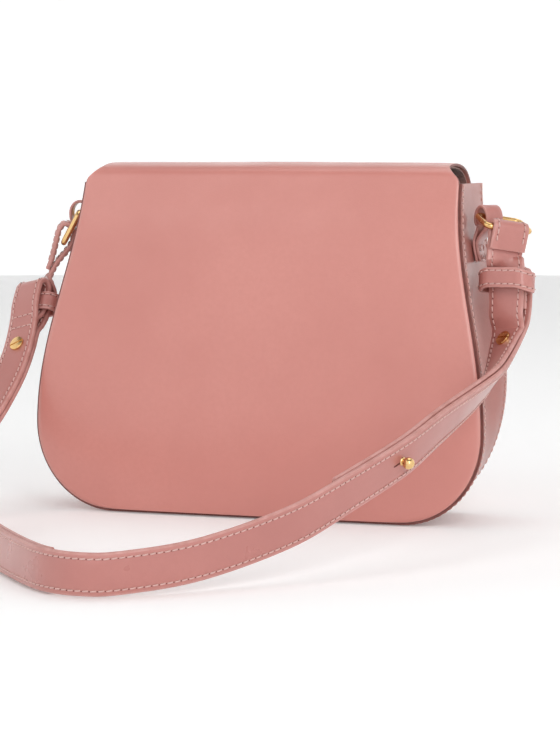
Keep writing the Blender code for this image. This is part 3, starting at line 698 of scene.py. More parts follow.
def swell(point):
    """How far the leather swells out at a point of the side view: full on the back, little on the flap."""
    if point.y > FLAP_FRONT_Y:
        return FLAP_SWELL
    return FOLD_SWELL + BACK_SWELL * soft_step((SWELL_TOP_Z - point.z) / SWELL_FADE)


def upright(face_y, rows):
    """Side view of a standing panel that has its outer face at face_y(z)."""
    return [Vector((0, face_y(z), z)) for z in rows]


def build_back_and_flap(fold):
    """Back panel and flap in one piece of leather, blended across the fold."""
    rows = panel_heights(SEAM_INSET, BACK_TOP_Z, BACK_WIDEST_Z)
    spine = eased(upright(back_y, rows) + fold, low=0.166, far=0.012, rounds=5)
    spans = [back_half(z, SEAM_INSET) for z in rows] + [flap_half(p.y, p.z) for p in fold]
    body = shell("back_and_flap", spine, spans, LEATHER, [PANEL, GROOVE_SHADE_PAINT], cols=48, ripple=0.00012,
                 crowns=[swell(point) for point in spine])
    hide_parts("back_panel", "flap_panel")
    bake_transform(body)


def build_front():
    rows = panel_heights(SEAM_INSET, FRONT_TOP_Z, FRONT_WIDEST_Z)
    spans = [front_half(z, SEAM_INSET) for z in rows]
    front = shell("front_leather", upright(front_y, rows), spans, LEATHER, [PANEL, GROOVE_SHADE_PAINT],
                  ripple=0.0001, turn=-1)
    done(front, "bag", "smooth_leather", "front_panel")


def lining(name, node, body, spine, spans, depth, cols, turn=1):
    """A piece of lining cloth that lies depth inside the outer face of the leather."""
    cloth = shell(name, spine, spans, LINING, [CLOTH, CLOTH], cols, start=depth, turn=turn)
    done(cloth, body, "lining_cloth", node)


def build_linings(fold):
    """The linings of back, front and flap, and the slip pocket on the back lining."""
    low = GUSSET_LEATHER + LINING + 3 * GAP
    rows = panel_heights(low, LINING_TOP_Z, BACK_WIDEST_Z, corners=12, rows=18)
    lining("back_cloth", "back_lining", "bag", upright(back_y, rows),
           [back_half(z, low) for z in rows], depth=LEATHER + GAP, cols=20)
    rows = panel_heights(low, LINING_TOP_Z, FRONT_WIDEST_Z, corners=12, rows=18)
    lining("front_cloth", "front_lining", "bag", upright(front_y, rows),
           [front_half(z, low) for z in rows], depth=LEATHER + WASHER_ROOM, cols=20, turn=-1)
    facing = fold[FACING_START:]
    lining("flap_cloth", "flap_lining", "flap", facing,
           [flap_half(p.y, p.z) - SEAM_INSET for p in facing], depth=LEATHER + GAP, cols=24)
    levels = [POCKET_Z[0] + (POCKET_Z[1] - POCKET_Z[0]) * k / 14 for k in range(15)]
    lining("pocket_cloth", "slip_pocket", "bag", upright(back_y, levels),
           [POCKET_HALF] * len(levels), depth=LEATHER + GAP + LINING + 2 * GAP, cols=16)


def done(thing, body, slot, *nodes):
    """Hands a piece to its body, in place of CAD nodes; its slot argument is not used."""
    if nodes:
        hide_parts(*nodes)
    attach(thing, body)


# ---- gusset ----

def outline(half, widest_z, top, inset, side_rows=30, corner_rows=22, base_cols=14):
    """(x, z) points down the right side, along the bottom and up the left side."""
    heights = [top + (widest_z - top) * k / side_rows for k in range(side_rows)]
    turns = [0.5 * math.pi * (1 - k / corner_rows) for k in range(corner_rows + 1)]
    heights += [inset + (widest_z - inset) * (1 - math.cos(turn)) for turn in turns]
    right = [(half(z, inset), z) for z in heights]
    base = right[-1][0]
    bottom = [(base * (1 - 2 * k / base_cols), inset) for k in range(1, base_cols)]
    left = [(-x, z) for x, z in reversed(right)]
    return right + bottom + left


def tuck(z):
    """Depth of the gusset's inward fold at height z."""
    return FOLD_DEPTH * soft_step((z - TUCK_LOW_Z) / TUCK_RISE) * soft_step((TUCK_TOP_Z - z) / TUCK_FALL)


def gusset_rows(inset, top, back_edge, front_edge, places):
    """Rows of points across the gusset, one row for each step down the side and round the bottom."""
    back = outline(back_half, BACK_WIDEST_Z, top, inset)
    front = outline(front_half, FRONT_WIDEST_Z, top, inset)
    rows = []
    for (bx, bz), (fx, fz) in zip(back, front):
        start = Vector((bx, back_y(bz) + back_edge, bz))
        end = Vector((fx, front_y(fz) - front_edge, fz))
        row = []
        for v in places:
            point = start.lerp(end, v)
            rear = back_y(point.z) + LEATHER + GAP
            across = (point.y - rear) / (front_y(point.z) - LEATHER - GAP - rear)
            inward = -math.copysign(tuck(point.z), bx) * math.sin(math.pi * across) ** 2
            row.append(point + Vector((inward, 0, 0)))
        rows.append(row)
    return rows


def build_gusset():
    """The gusset's leather and its lining."""
    cols = 18
    places = [k / cols for k in range(cols + 1)]
    edge = LEATHER + GAP
    outer = gusset_rows(0.0, GUSSET_TOP_Z, edge, edge, places)
    inner = gusset_rows(GUSSET_LEATHER, GUSSET_TOP_Z, edge, edge, places)
    loops = []
    for near, far in zip(outer, inner):
        front_cut = [(near[-1] * 2 + far[-1]) / 3, (near[-1] + far[-1] * 2) / 3]
        back_cut = [(near[0] + far[0] * 2) / 3, (near[0] * 2 + far[0]) / 3]
        loops.append(near + front_cut + far[::-1] + back_cut)
    side = loft("gusset_leather_painted_shade", loops, [GUSSET_PAINTED_SHADE, GROOVE_SHADE_PAINT], long_edges(cols), 50)
    done(side, "bag", "smooth_leather", "gusset")
    depth = GUSSET_LEATHER + 3 * GAP
    back_edge = LEATHER + LINING + 3 * GAP
    front_edge = LEATHER + WASHER_ROOM + LINING + GAP
    outer = gusset_rows(depth, LINING_TOP_Z, back_edge, front_edge, places)
    inner = gusset_rows(depth + LINING, LINING_TOP_Z, back_edge, front_edge, places)
    loops = [near + far[::-1] for near, far in zip(outer, inner)]
    cloth = loft("gusset_cloth", loops, [CLOTH, CLOTH], set(), 50)
    done(cloth, "bag", "lining_cloth", "gusset_lining")


# ---- stitching ----

class Stitches:
    """Collects stitches and the dark plugs of painted shade in their holes into one mesh."""

    def __init__(self):
        self.points = []
        self.faces = []
        self.picks = []

    def add(self, loops, pick, caps_first=False):
        """Adds a closed skin over loops of points, with material number pick."""
        base = len(self.points)
        size = len(loops[0])
        self.points += [point for loop in loops for point in loop]
        side = band_faces(base, size, len(loops))
        ends = [tuple(start + k for k in range(size)) for start in (base, len(self.points) - size)]
        self.faces += ends + side if caps_first else side + ends
        self.picks += [pick] * (len(side) + len(ends))

    def one(self, centre, along, normal, slant=0.10):
        """One stitch of thread that dives into the leather at both ends, and after it a dark plug that
        stands in for the shade inside its hole.
        """
        across = normal.cross(along).normalized()
        along = (along + across * slant).normalized()
        half = STITCH_LENGTH / 2
        loops = []
        for where, lift, fat in STITCH_SHAPE:
            middle = centre + along * half * where + normal * STITCH_RADIUS * lift
            loops.append(circle(middle, STITCH_RADIUS * fat, across, normal, 6))
        self.add(loops, 0)
        # Painted shade: a small dark plug at the surface stands in for the shade inside the stitch hole.
        middle = centre + along * STITCH_PITCH / 2
        loops = []
        for lift, size in ((0.00006, HOLE_RADIUS), (-0.0004, 0.5 * HOLE_RADIUS)):
            loops.append([point + normal * lift for point in circle(middle, size, across, along, 7)])
        self.add(loops, 1, caps_first=True)

    def line(self, points, normals):
        """Stitches along a line of surface points with their outward normals."""
        run = distances([(point, None) for point in points])
        count = max(1, int(run[-1] / STITCH_PITCH))
        pitch = run[-1] / count
        i = 0
        for k in range(count):
            wanted = (k + 0.5) * pitch
            while i < len(run) - 2 and run[i + 1] < wanted:
                i += 1
            t = (wanted - run[i]) / max(run[i + 1] - run[i], 1e-9)
            along = (points[i + 1] - points[i]).normalized()
            normal = normals[i].lerp(normals[i + 1], t).normalized()
            self.one(points[i].lerp(points[i + 1], t), along, normal)

    def along_strip(self, route, width, thickness):
        """Rows near both long edges of a strip, on both of its faces."""
        placed = [frame for frame, run in zip(frames(route), distances(route)) if run >= STITCH_START]
        for face in (1, -1):
            for sign in (1, -1):
                across = sign * (width / 2 - STITCH_INSET)
                lift = face * thickness / 2
                self.line([p + side * across + normal * lift for p, _, side, normal in placed],
                          [normal * face for _, _, _, normal in placed])

    def across_strip(self, route, width, thickness, distance, faces=(1, -1)):
        """A row of stitches across a strip."""
        point, _, side, normal = frame_along(route, distance)
        half = width / 2 - STITCH_INSET
        for face in faces:
            ends = [point + side * sign * half + normal * face * thickness / 2 for sign in (-1, 1)]
            self.line(ends, [normal * face] * 2)

    def mesh(self, name):
        return add_mesh(name, self.points, self.faces, [THREAD, HOLE_AND_SLIT_SHADE], self.picks, 60)


def build_gusset_stitches():
    """Two rows of stitches round the gusset, one beside each panel."""
    sewn = Stitches()
    edge = LEATHER + GAP
    middle_z = 0.09
    for place in GUSSET_ROWS:
        rows = gusset_rows(0.0, GUSSET_TOP_Z, edge, edge, (place, place + 0.02))
        normals = []
        for i, row in enumerate(rows):
            along = rows[min(i + 1, len(rows) - 1)][0] - rows[max(i - 1, 0)][0]
            out = along.cross(row[1] - row[0]).normalized()
            centre = Vector((0, row[0].y, middle_z))
            normals.append(-out if out.dot(row[0] - centre) < 0 else out)
        sewn.line([row[0] for row in rows], normals)
    done(sewn.mesh("gusset_stitches"), "bag", "smooth_leather")


# ---- the two ends of the strap ----

class End:
    """Places and directions of one side's loop, ring, folded tab and keeper."""

    def __init__(self, side, loop, loop_axis, bar, bar_axis, reach, tab_down, fold, keeper, keeper_up,
                 keeper_edge, turn, fold_up, leg, run_in, slack):
        self.side = side
        self.ring_body = "ring_" + side
        self.fold_up = fold_up * MM
        self.fold = fold
        self.leg = leg
        self.run_in = run_in
        self.slack = slack
        self.loop = mm(*loop)
        self.loop_axis = Vector(loop_axis).normalized()
        self.bar = mm(*bar)
        self.bar_axis = Vector(bar_axis).normalized()
        self.reach = square_to(Vector(reach), self.bar_axis)
        self.tab_down = square_to(Vector(tab_down), self.bar_axis)
        self.outer_bar = self.bar + self.reach * (RING_WIDTH - RING_WIRE)
        self.keeper = mm(*keeper)
        self.up = Vector(keeper_up).normalized()
        self.edge = square_to(Vector(keeper_edge), self.up)
        self.out = turn * self.up.cross(self.edge)

    def at(self, along_edge, outwards, upwards):
        """A point near the keeper, from the middle of the adjuster."""
        return self.keeper + self.edge * along_edge + self.out * outwards + self.up * upwards


# Middle line of the adjuster's folded end, as (towards the short leg, down) from the ring's outer bar.
SNUG_FOLD = [(1.4, 11.0), (1.7, 9.5), (2.6, 4.5), (3.15, 0.0), (2.73, -1.6), (1.6, -2.73), (0.0, -3.15),
             (-1.6, -2.73), (-2.73, -1.6), (-3.15, 0.0), (-2.6, 4.5), (-1.7, 9.5), (-1.4, 12.0)]
LOOSE_FOLD = [(1.4, 17.5), (1.8, 13.0), (2.6, 8.0), (4.2, 1.2), (5.5, -4.5), (5.0, -8.6), (2.4, -10.2),
              (-0.6, -9.6), (-3.0, -6.8), (-4.2, -2.0), (-3.7, 3.0), (-2.2, 9.0), (-1.4, 14.0),
              (-1.4, 18.0)]

# Middle line of the strap's short leg, as (outwards, upwards) from the keeper, up to its fold.
HANGING_LEG = [(3.6, -13.5), (3.3, -9.0), (3.15, -3.0)]
SEWN_LEG = [(7.5, -15.0), (7.1, -11.5), (4.4, -7.8), (3.15, -3.5), (3.15, 2.0)]

# Where each adjuster goes between keeper and strap, as (along its edge, outwards, upwards).
RIGHT_RUN_IN = [(0.0, -0.1, -11.0), (0.0, 0.1, -17.5)]
LEFT_RUN_IN = [(0.4, 1.4, -10.0), (0.9, 3.9, -16.0)]

RIGHT = End("right", loop=(119.0, 7.4, 160.3), loop_axis=(0.6, 0.8, 0), bar=(123.4, 10.2, 160.6),
            bar_axis=(0.80, 0.58, -0.15), reach=(0.60, -0.74, -0.28), tab_down=(0, 0, -1), fold=SNUG_FOLD,
            keeper=(132.2, -4, 127.5), keeper_up=(0, 0.1, 1), keeper_edge=(0.985, -0.17, 0), turn=1,
            fold_up=3.1, leg=HANGING_LEG, run_in=RIGHT_RUN_IN, slack=-0.6)
LEFT = End("left", loop=(-120.4, 17.7, 161), loop_axis=(-0.25, 0.97, 0), bar=(-121.1, 17.4, 161.5),
           bar_axis=(0.4, -0.917, 0), reach=(-0.5, 0, -0.866), tab_down=(-0.484, 0, -0.875),
           fold=LOOSE_FOLD, keeper=(-139.6, 2.4, 108.3), keeper_up=(0, 0.50, 0.866),
           keeper_edge=(0.92, -0.37, 0.14), turn=-1, fold_up=8.3, leg=SEWN_LEG,
           run_in=LEFT_RUN_IN, slack=-2.0)
ENDS = (RIGHT, LEFT)

# The strap's middle line from its right end to its left end, with the direction towards its inner
# long edge: down in front of the back panel, along the floor on its edge, and back up on the left.
STRAP_STATIONS = [
    ((134.4, 5.2, 121.0), (0.97, -0.20, 0.00)), ((134.5, 4.0, 114.0), (0.97, -0.21, 0.05)),
    ((134.4, 1.4, 106.5), (0.96, -0.22, 0.15)), ((134.0, -6.0, 96.5), (0.88, -0.27, 0.40)),
    ((134.6, -21.0, 86.5), (0.74, -0.26, 0.62)), ((135.0, -40.0, 78.5), (0.62, -0.24, 0.75)),
    ((133.6, -60.0, 73.5), (0.53, -0.20, 0.83)), ((132.2, -80.0, 69.5), (0.42, -0.25, 0.87)),
    ((127.3, -114.0, 61.5), (0.24, -0.34, 0.91)), ((119.0, -146.0, 50.5), (0.10, -0.37, 0.92)),
    ((103.0, -182.0, 37.5), (0.02, -0.35, 0.94)), ((85.0, -217.0, 25.0), (-0.06, -0.27, 0.96)),
    ((56.0, -256.0, 14.5), (-0.05, -0.18, 0.98)), ((29.0, -283.0, 11.0), (0.00, -0.12, 0.99)),
    ((13.0, -291.0, 10.8), (0.00, -0.08, 1.00)), ((-6.0, -285.0, 10.8), (0.00, 0.00, 1.00)),
    ((-26.0, -267.0, 10.8), (0.03, 0.03, 1.00)), ((-59.0, -228.0, 10.8), (0.10, 0.05, 0.99)),
    ((-87.0, -190.0, 11.0), (0.28, 0.11, 0.95)), ((-112.0, -150.0, 16.0), (0.44, 0.11, 0.89)),
    ((-133.0, -110.0, 27.0), (0.67, 0.10, 0.74)), ((-142.5, -76.0, 43.0), (0.88, 0.02, 0.47)),
    ((-142.8, -53.0, 58.5), (0.97, -0.10, 0.21)), ((-141.6, -34.5, 74.0), (0.97, -0.21, 0.12)),
    ((-141.2, -21.5, 89.0), (0.96, -0.25, 0.13)), ((-142.2, -12.5, 102.0), (0.95, -0.28, 0.15)),
    ((-143.3, -8.0, 111.0), (0.93, -0.32, 0.17)),
]


def fold_points(end):
    """The strap's turned end from its short leg, over the keeper, to the top of its outer leg."""
    points = [end.at(0, out * MM, up * MM) for out, up in end.leg]
    steps = 12
    for k in range(steps + 1):
        turn = math.pi * k / steps
        outwards = FOLD_OUT - FOLD_RADIUS * (1 + math.cos(turn))
        points.append(end.at(0, outwards, end.fold_up + FOLD_RADIUS * math.sin(turn)))
    return [(point, end.edge) for point in points]


def strap_main_route():
    """Samples of the strap between its two folds."""
    stations = [(mm(*point), Vector(edge)) for point, edge in STRAP_STATIONS]
    first = (RIGHT.at(0, FOLD_OUT, RIGHT.fold_up), RIGHT.edge)
    last = (LEFT.at(0, FOLD_OUT, LEFT.fold_up), LEFT.edge)
    return smooth_route([first] + stations + [last], 0.0065)


def tab_points(end):
    """The adjuster's folded end: short leg, round the ring's outer bar, and down the main leg."""
    outwards = end.tab_down.cross(end.bar_axis)
    return [end.outer_bar + (outwards * across + end.tab_down * down) * MM for across, down in end.fold]


def beside_strap(end, main):
    """Samples of the adjuster where it lies against the strap, from its landing to its far end."""
    length = distances(main)[-1]
    beside = []
    for run, (point, _, edge, normal) in zip(distances(main), frames(main)):
        along = run if end is RIGHT else length - run
        if LANDING_AT <= along <= ADJUSTER_END[end.side]:
            ease = EASE * max(0.0, 1 - (along - LANDING_AT) / EASE_RUN)
            beside.append((point - normal * (LAYER_STEP + ease), edge))
    return beside if end is RIGHT else beside[::-1]


def adjuster_route(end, main):
    """The adjuster in two stretches: the folded tab, then through the keeper and along the strap."""
    beside = beside_strap(end, main)
    tab = tab_points(end)
    down = (tab[-1] - tab[-2]).normalized()
    start = tab[-1] + down * TAB_SPLIT
    turning = end.bar_axis.lerp(end.edge, 0.9).normalized()
    above = end.at(0, end.slack * MM, max(0.0070, end.fold_up + 0.0024))
    stations = [(start, end.bar_axis), (start + down * TAB_LEAD[end.side], end.bar_axis), (above, turning),
                (end.at(0, 0, -0.0045), end.edge)]
    for i, place in enumerate(end.run_in):
        mixed = end.edge.lerp(beside[0][1], 0.25 * (i + 1))
        stations.append((end.at(*[value * MM for value in place]), mixed))
    run_in = smooth_route(stations + [beside[0]], 0.006)[1:-1]
    folded = refined([(point, end.bar_axis) for point in tab], 2)
    return folded, run_in + beside


def build_strap(main):
    """The shoulder strap with its turned ends."""
    fine = refined(main, 2)
    whole = fold_points(RIGHT)[:-1] + fine + fold_points(LEFT)[::-1][1:]
    strap = strip("shoulder_strap_leather", whole, STRAP_WIDTH, STRAP_THICKNESS, [STRAP, PAINT])
    done(strap, "bag", "strap_leather", "shoulder_strap")
    sewn = Stitches()
    sewn.along_strip(whole, STRAP_WIDTH, STRAP_THICKNESS)
    run = distances(whole)[-1]
    for from_end in STRAP_CROSS_ROWS:
        sewn.across_strip(whole, STRAP_WIDTH, STRAP_THICKNESS, run - from_end, (1,))
    done(sewn.mesh("strap_stitches"), "bag", "strap_leather")
    return strap, fine


def build_adjuster(end, main):
    """One adjuster with its end folded round the ring."""
    folded, rest = adjuster_route(end, main)
    route = folded + refined(rest, 2)
    band = strip("adjuster_leather_" + end.side, route, STRAP_WIDTH, ADJUSTER_THICKNESS, [STRAP, PAINT])
    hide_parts("strap_tab_" + end.side, "adjuster_strap_" + end.side)
    sewn = Stitches()
    sewn.along_strip(route, STRAP_WIDTH, ADJUSTER_THICKNESS)
    tab_run = distances(folded)[-1]
    for before in TAB_CROSS_ROWS:
        sewn.across_strip(route, STRAP_WIDTH, ADJUSTER_THICKNESS, tab_run - before)
    threads = sewn.mesh("adjuster_stitches_" + end.side)
    for thing in (band, threads):
        tuple(end.at(0, 0, 0.004))
        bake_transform(thing)
    return band


# ---- rings, loops, keepers and fasteners ----

def tube(name, line, radius, flat, mat, sides=16):
    """A closed round bar along a closed line that lies flat across the direction given."""
    loops = []
    for i, point in enumerate(line):
        tangent = (line[(i + 1) % len(line)] - line[i - 1]).normalized()
        loops.append(circle(point, radius, flat.cross(tangent), flat, sides))
    return loft(name, loops, [mat], set(), 60, True)


def build_ring(end):
    """The oblong brass ring."""
    long_half = (RING_LENGTH - RING_WIRE) / 2
    wide_half = (RING_WIDTH - RING_WIRE) / 2
    middle = end.bar + end.reach * wide_half
    line = []
    for quarter, (sx, sy) in enumerate(((1, 1), (-1, 1), (-1, -1), (1, -1))):
        for k in range(10):
            turn = 0.5 * math.pi * (quarter + k / 9)
            x = sx * (long_half - RING_CORNER) + RING_CORNER * math.cos(turn)
            y = sy * (wide_half - RING_CORNER) + RING_CORNER * math.sin(turn)
            line.append(middle + end.bar_axis * x + end.reach * y)
    flat = end.bar_axis.cross(end.reach).normalized()
    ring = tube("brass_ring_" + end.side, line, RING_WIRE / 2, flat, BRASS)
    done(ring, end.ring_body, "pale_brass", "ring_" + end.side)


def build_chape(end):
    """The leather loop that is stitched flat on the gusset and turns round the ring's bar."""
    sign = math.copysign(1, end.loop.x)
    square = Vector((0, 1, 0))
    outwards = end.loop_axis.cross(UP)
    if outwards.x * sign < 0:
        outwards = -outwards
    axis = end.loop_axis if end.loop_axis.dot(square) > 0 else -end.loop_axis

    def on_gusset(z, layer):
        off = GAP * (1 + layer) + CHAPE_LEATHER * (0.5 + layer)
        return Vector((sign * (max(back_half(z), front_half(z)) + off), end.loop.y, z))

    wide, tall = CHAPE_LOOP
    flat = [(on_gusset(CHAPE_Z[0], 0), square), (on_gusset(CHAPE_Z[1], 0), square)]
    route = list(flat)
    for k in range(9):
        turn = math.pi * (1.25 - 1.5 * k / 8)
        point = end.loop + outwards * wide * math.cos(turn) + Vector((0, 0, tall * math.sin(turn)))
        route.append((point, axis))
    outer = [(on_gusset(CHAPE_Z[1], 1), square), (on_gusset(CHAPE_Z[0], 1), square)]
    route += outer
    loop = strip("chape_leather_" + end.side, refined(route, 4), CHAPE_WIDTH, CHAPE_LEATHER, [STRAP, PAINT])
    done(loop, "bag", "smooth_leather", "chape_" + end.side)
    sewn = Stitches()
    out = Vector((sign, 0, 0))
    proud = out * CHAPE_LEATHER / 2
    half = square * (CHAPE_WIDTH / 2 - CHAPE_INSET)
    for side in (-half, half):
        sewn.line([point + side + proud for point, _ in outer], [out] * 2)
    low = on_gusset(CHAPE_Z[0] + CHAPE_ROW, 1) + proud
    sewn.line([low - half, low + half], [out] * 2)
    done(sewn.mesh("chape_stitches_" + end.side), "bag", "smooth_leather")


def build_keeper(end):
    """The loose leather band that holds the layers together, with its stitched edges."""
    long_half, deep_half = KEEPER_HALF
    middle_out = FOLD_OUT - FOLD_RADIUS - deep_half
    line = []
    for side in (1, -1):
        for k in range(13):
            turn = math.pi * (k / 12 - 0.5)
            across = side * (long_half - deep_half + deep_half * math.cos(turn))
            depth = side * deep_half * math.sin(turn)
            arch = math.cos(0.4 * math.pi * across / long_half)
            lift = KEEPER_LIFT * max(0.0, -depth / deep_half) * arch
            line.append(end.at(across, middle_out + depth, lift))
    section, rim = strip_section(KEEPER_WIDTH, KEEPER_LEATHER)
    loops = []
    normals = []
    for i, point in enumerate(line):
        normal = end.up.cross(square_to(line[(i + 1) % len(line)] - line[i - 1], end.up))
        normals.append(normal)
        loops.append([point + end.up * across + normal * up for across, up in section])
    band = loft("keeper_leather_" + end.side, loops, [STRAP, PAINT], rim, 38, True)
    done(band, "bag", "smooth_leather", "keeper_" + end.side)
    sewn = Stitches()
    middle = sum(line, Vector()) / len(line)
    sign = 1 if normals[3].dot(line[3] - middle) > 0 else -1
    outward = [normal * sign for normal in normals]
    for edge in (-1, 1):
        offset = end.up * edge * (KEEPER_WIDTH / 2 - BAND_INSET)
        points = [p + offset + out * KEEPER_LEATHER / 2 for p, out in zip(line, outward)]
        sewn.line(points + points[:1], outward + outward[:1])
    done(sewn.mesh("keeper_stitches_" + end.side), "bag", "smooth_leather")
    return band


def turned(name, profile, centre, axis):
    """A brass solid of revolution: profile is (radius, height) from one pole to the other."""
    axis = axis.normalized()
    right = axis.orthogonal().normalized()
    up = axis.cross(right)
    loops = [circle(centre + axis * height, max(radius, 0.00002), right, up, 40)
             for radius, height in profile]
    return loft(name, loops, [BRASS], set(), 32)


def cut_slot(thing, centre, axis, along, depth, length):
    """A screwdriver slot, cut with a box and applied."""
    across = axis.cross(along).normalized()
    corners = []
    for h in (-depth, depth * 3):
        for a, b in ((-1, -1), (1, -1), (1, 1), (-1, 1)):
            corners.append(centre + axis * h + along * a * length / 2 + across * b * SCREW_SLOT / 2)
    box = add_mesh("slot_cutter", corners, [(0, 1, 2, 3), (4, 5, 6, 7)] + band_faces(0, 4, 2), [BRASS])
    cut = thing.modifiers.new("slot", "BOOLEAN")
    cut.operation = "DIFFERENCE"
    cut.solver = "EXACT"
    cut.object = box
    graph = bpy.context.evaluated_depsgraph_get()
    mesh = bpy.data.meshes.new_from_object(thing.evaluated_get(graph))
    thing.modifiers.clear()
    thing.data = mesh
    bpy.data.objects.remove(box)
    mesh.shade_smooth()
    mesh.set_sharp_from_angle(angle=math.radians(32))


def headed(base, shank, tip, radius, thickness, sign):
    """Half section of a screw from the tip of its shank to its rounded head, which stands on base."""
    r = thickness * 0.4
    head = [(radius, 0.0), (radius, thickness - r), (radius - 0.3 * r, thickness - 0.3 * r),
            (radius - r, thickness), (0, thickness)]
    return [(0, tip), (shank, tip), (shank, base)] + [(far, base + sign * high) for far, high in head]


def seat(end, main, along):
    """Middle of the joined layers at a distance from the strap's end, with tangent, edge and normal."""
    distance = along if end is RIGHT else distances(main)[-1] - along
    point, tangent, side, normal = frame_along(main, distance)
    return point - normal * LAYER_STEP / 2, tangent, side, normal


def slotted(end, name, node, profile, centre, normal, slot_way, depth=0.0006, length=0.012):
    """A turned brass piece with a screwdriver slot across its head."""
    piece = turned(name + end.side, profile, centre, normal)
    top = profile[-1][1]
    cut_slot(piece, centre + normal * top, normal * math.copysign(1, top), slot_way, depth, length)
    done(piece, "bag", "pale_brass", node + end.side)
    return piece


def stud_profile():
    """Half section of the ball stud, from the top of its ball to the end of its shank."""
    middle = STACK_TOP + 0.0009 + BALL_RADIUS * 0.85
    turns = [math.radians(90 - 12 * k) for k in range(1, 13)]
    ball = [(BALL_RADIUS * math.cos(a), middle + BALL_RADIUS * math.sin(a)) for a in turns]
    collar = [(0.0016, STACK_TOP + 0.0007), (0.0021, STACK_TOP + 0.0003), (0.0022, STACK_TOP + 0.0001)]
    shank = [(0.0016, STACK_TOP + 0.0001), (0.0016, STACK_LOW + 0.0002), (0, STACK_LOW + 0.0002)]
    return [(0, middle + BALL_RADIUS)] + ball + [(0.0016, middle - 0.0025)] + collar + shank


def build_fasteners(end, main):
    """The two-part screw and the ball stud that fasten the adjuster to the strap."""
    centre, tangent, side, normal = seat(end, main, SCREW_AT)
    slot_way = (tangent * 0.35 + side).normalized()
    front = headed(STACK_TOP + 0.0002, 0.0022, STACK_LOW + 0.0004, SCREW_HEAD, 0.0013, 1)
    rear = headed(STACK_LOW - 0.0002, 0.0012, STACK_LOW + 0.0001, SCREW_HEAD, 0.0013, -1)
    pieces = [slotted(end, "screw_head_", "screw_post_", front, centre, normal, slot_way),
              slotted(end, "screw_back_", "strap_screw_", rear, centre, normal, slot_way)]
    centre, tangent, side, normal = seat(end, main, STUD_AT)
    ball = turned("ball_stud_" + end.side, stud_profile(), centre, normal)
    done(ball, "bag", "pale_brass", "strap_stud_" + end.side)
    pieces.append(ball)
    rear = headed(STACK_LOW - 0.0002, 0.0010, STACK_LOW + 0.0001, STUD_HEAD, 0.0012, -1)
    pieces.append(slotted(end, "stud_back_", "stud_screw_", rear, centre, normal, slot_way, 0.0005, 0.010))
    away = tangent if end is RIGHT else -tangent
    build_slit_shade(end, centre + normal * (STACK_TOP + 0.00006), away, side, normal)
    return pieces


def build_slit_shade(end, edge, away, side, normal):
    """The slit beside the stud, which lets its hole slip over the ball, drawn as a dark sheet of painted
    shade.
    """
    slit = []
    for k in range(16):
        turn = 2 * math.pi * k / 16
        slit.append(edge + away * (0.0038 + 0.0034 * math.cos(turn)) + side * 0.00045 * math.sin(turn))
    deep = [point - normal * 0.0006 for point in slit]
    done(loft("stud_slit_shade_" + end.side, [deep, slit], [HOLE_AND_SLIT_SHADE, HOLE_AND_SLIT_SHADE], set()), "bag", "strap_leather")


def build_snap():
    """The flap's magnetic snap and the washer behind the front panel."""
    out = Vector((0, MOUTH_Z, -FRONT_FLARE)).normalized()
    face = Vector((0, front_y(SNAP_Z), SNAP_Z))
    r = SNAP_RADIUS
    t = SNAP_THICKNESS
    socket = [(0, 0), (r - 0.0003, 0), (r, 0.0003), (r, t - 0.0004), (r - 0.0004, t), (0.0042, t),
              (0.0036, t - 0.0004), (0.0035, 0.0008), (0, 0.0008)]
    stud = [(0, -0.0006), (0.0026, -0.0006), (0.0029, -0.0003), (0.0029, 0), (r - 0.0004, 0), (r, 0.0004),
            (r, t - 0.0002), (r - 0.0002, t), (0, t)]
    washer = [(0, 0), (r, 0), (r, WASHER - 0.0002), (r - 0.0002, WASHER), (0, WASHER)]
    behind = LEATHER + GAP + WASHER
    done(turned("snap_socket", socket, face + out * GAP, out), "bag", "pale_brass", "body_snap")
    done(turned("snap_stud", stud, face + out * (2 * GAP + t), out), "flap", "pale_brass", "flap_snap")
    done(turned("snap_washer", washer, face - out * behind, out), "bag", "pale_brass", "body_snap_washer")


# ---- floor and light ----

def area_light(name, place, aim, size, power):
    data = bpy.data.lights.new(name, "AREA")
    data.shape = "RECTANGLE"
    data.size, data.size_y = size
    data.energy = power
    lamp = bpy.data.objects.new(name, data)
    lamp.location = place
    lamp.rotation_euler = (Vector(aim) - Vector(place)).to_track_quat("-Z", "Y").to_euler()
    bpy.context.collection.objects.link(lamp)


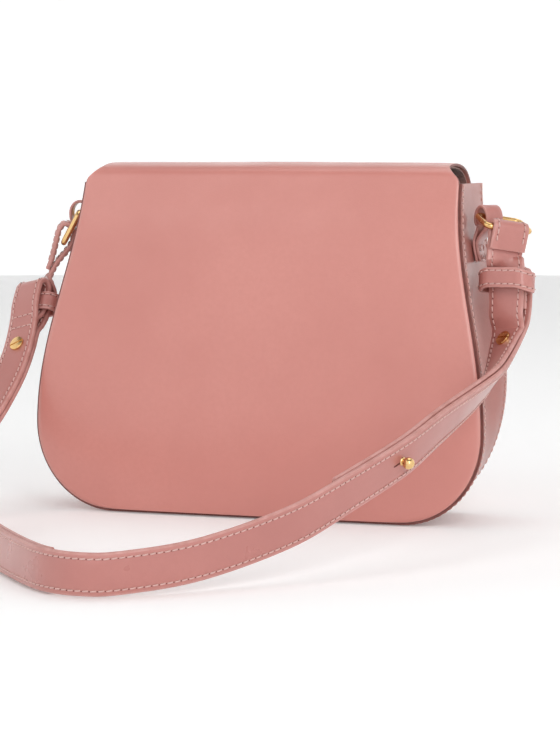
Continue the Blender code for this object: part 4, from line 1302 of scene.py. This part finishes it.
def glowing_white(name, glow):
    """Matt white paper that glows a little."""
    paper = Nodes(name, WHITE, 0.95, 0.0, 0.1)
    paper.colour(paper.blend_colour(paper.noise(3.0), WHITE, (0.94, 0.94, 0.94)))
    paper.shader.inputs["Emission Color"].default_value = (1.0, 1.0, 1.0, 1.0)
    paper.shader.inputs["Emission Strength"].default_value = glow
    return paper.mat


def build_studio():
    """White sweep, white surroundings and soft boxes."""
    floor = glowing_white("white_floor", FLOOR_GLOW)
    wall = glowing_white("white_wall", WALL_GLOW)
    right = Vector((1, 0, 0))
    ahead = Vector((0, 1, 0))
    points = []
    for radius, height in SWEEP_PROFILE:
        points += circle(Vector((0, 0, height - 0.0003)), radius, right, ahead, SWEEP_SIDES)
    rings = band_faces(0, SWEEP_SIDES, len(SWEEP_PROFILE))
    faces = [tuple(range(SWEEP_SIDES))] + rings
    picks = [0] * (1 + SWEEP_SIDES) + [1] * (len(rings) - SWEEP_SIDES)
    add_mesh("sweep", points, faces, [floor, wall], picks)
    world = bpy.data.worlds.new("studio")
    world.use_nodes = True
    background = world.node_tree.nodes["Background"]
    background.inputs["Color"].default_value = (1.0, 1.0, 1.0, 1.0)
    background.inputs["Strength"].default_value = WORLD_GLOW
    bpy.context.scene.world = world
    area_light("key", (-0.9, -1.3, 1.5), (0, 0, 0.08), (0.9, 0.9), KEY_POWER)
    area_light("strip_box", (0.80, -1.15, 0.72), (0.10, 0, 0.12), (0.26, 1.1), SIDE_POWER)
    area_light("top_box", (0.1, 0.3, 1.6), (0, 0, 0.1), (1.2, 1.2), TOP_POWER)


# ---- everything ----

def paint_node(name, mat):
    """Gives a CAD node that keeps its shape a better material."""
    thing = frame["nodes"][name]
    for slot in thing.material_slots:
        slot.material = mat


bpy.context.scene.view_settings.view_transform = "Standard"
main = strap_main_route()
strap, strap_line = build_strap(main)
on_strap = []
for end in ENDS:
    on_strap.append(build_adjuster(end, main))
    build_ring(end)
    build_chape(end)
    on_strap.append(build_keeper(end))
    on_strap += build_fasteners(end, main)
flap_spine = flap_line()
build_back_and_flap(flap_spine)
build_front()
build_linings(flap_spine)
build_gusset()
build_gusset_stitches()
build_snap()
paint_node("base_board", BOARD)
build_studio()
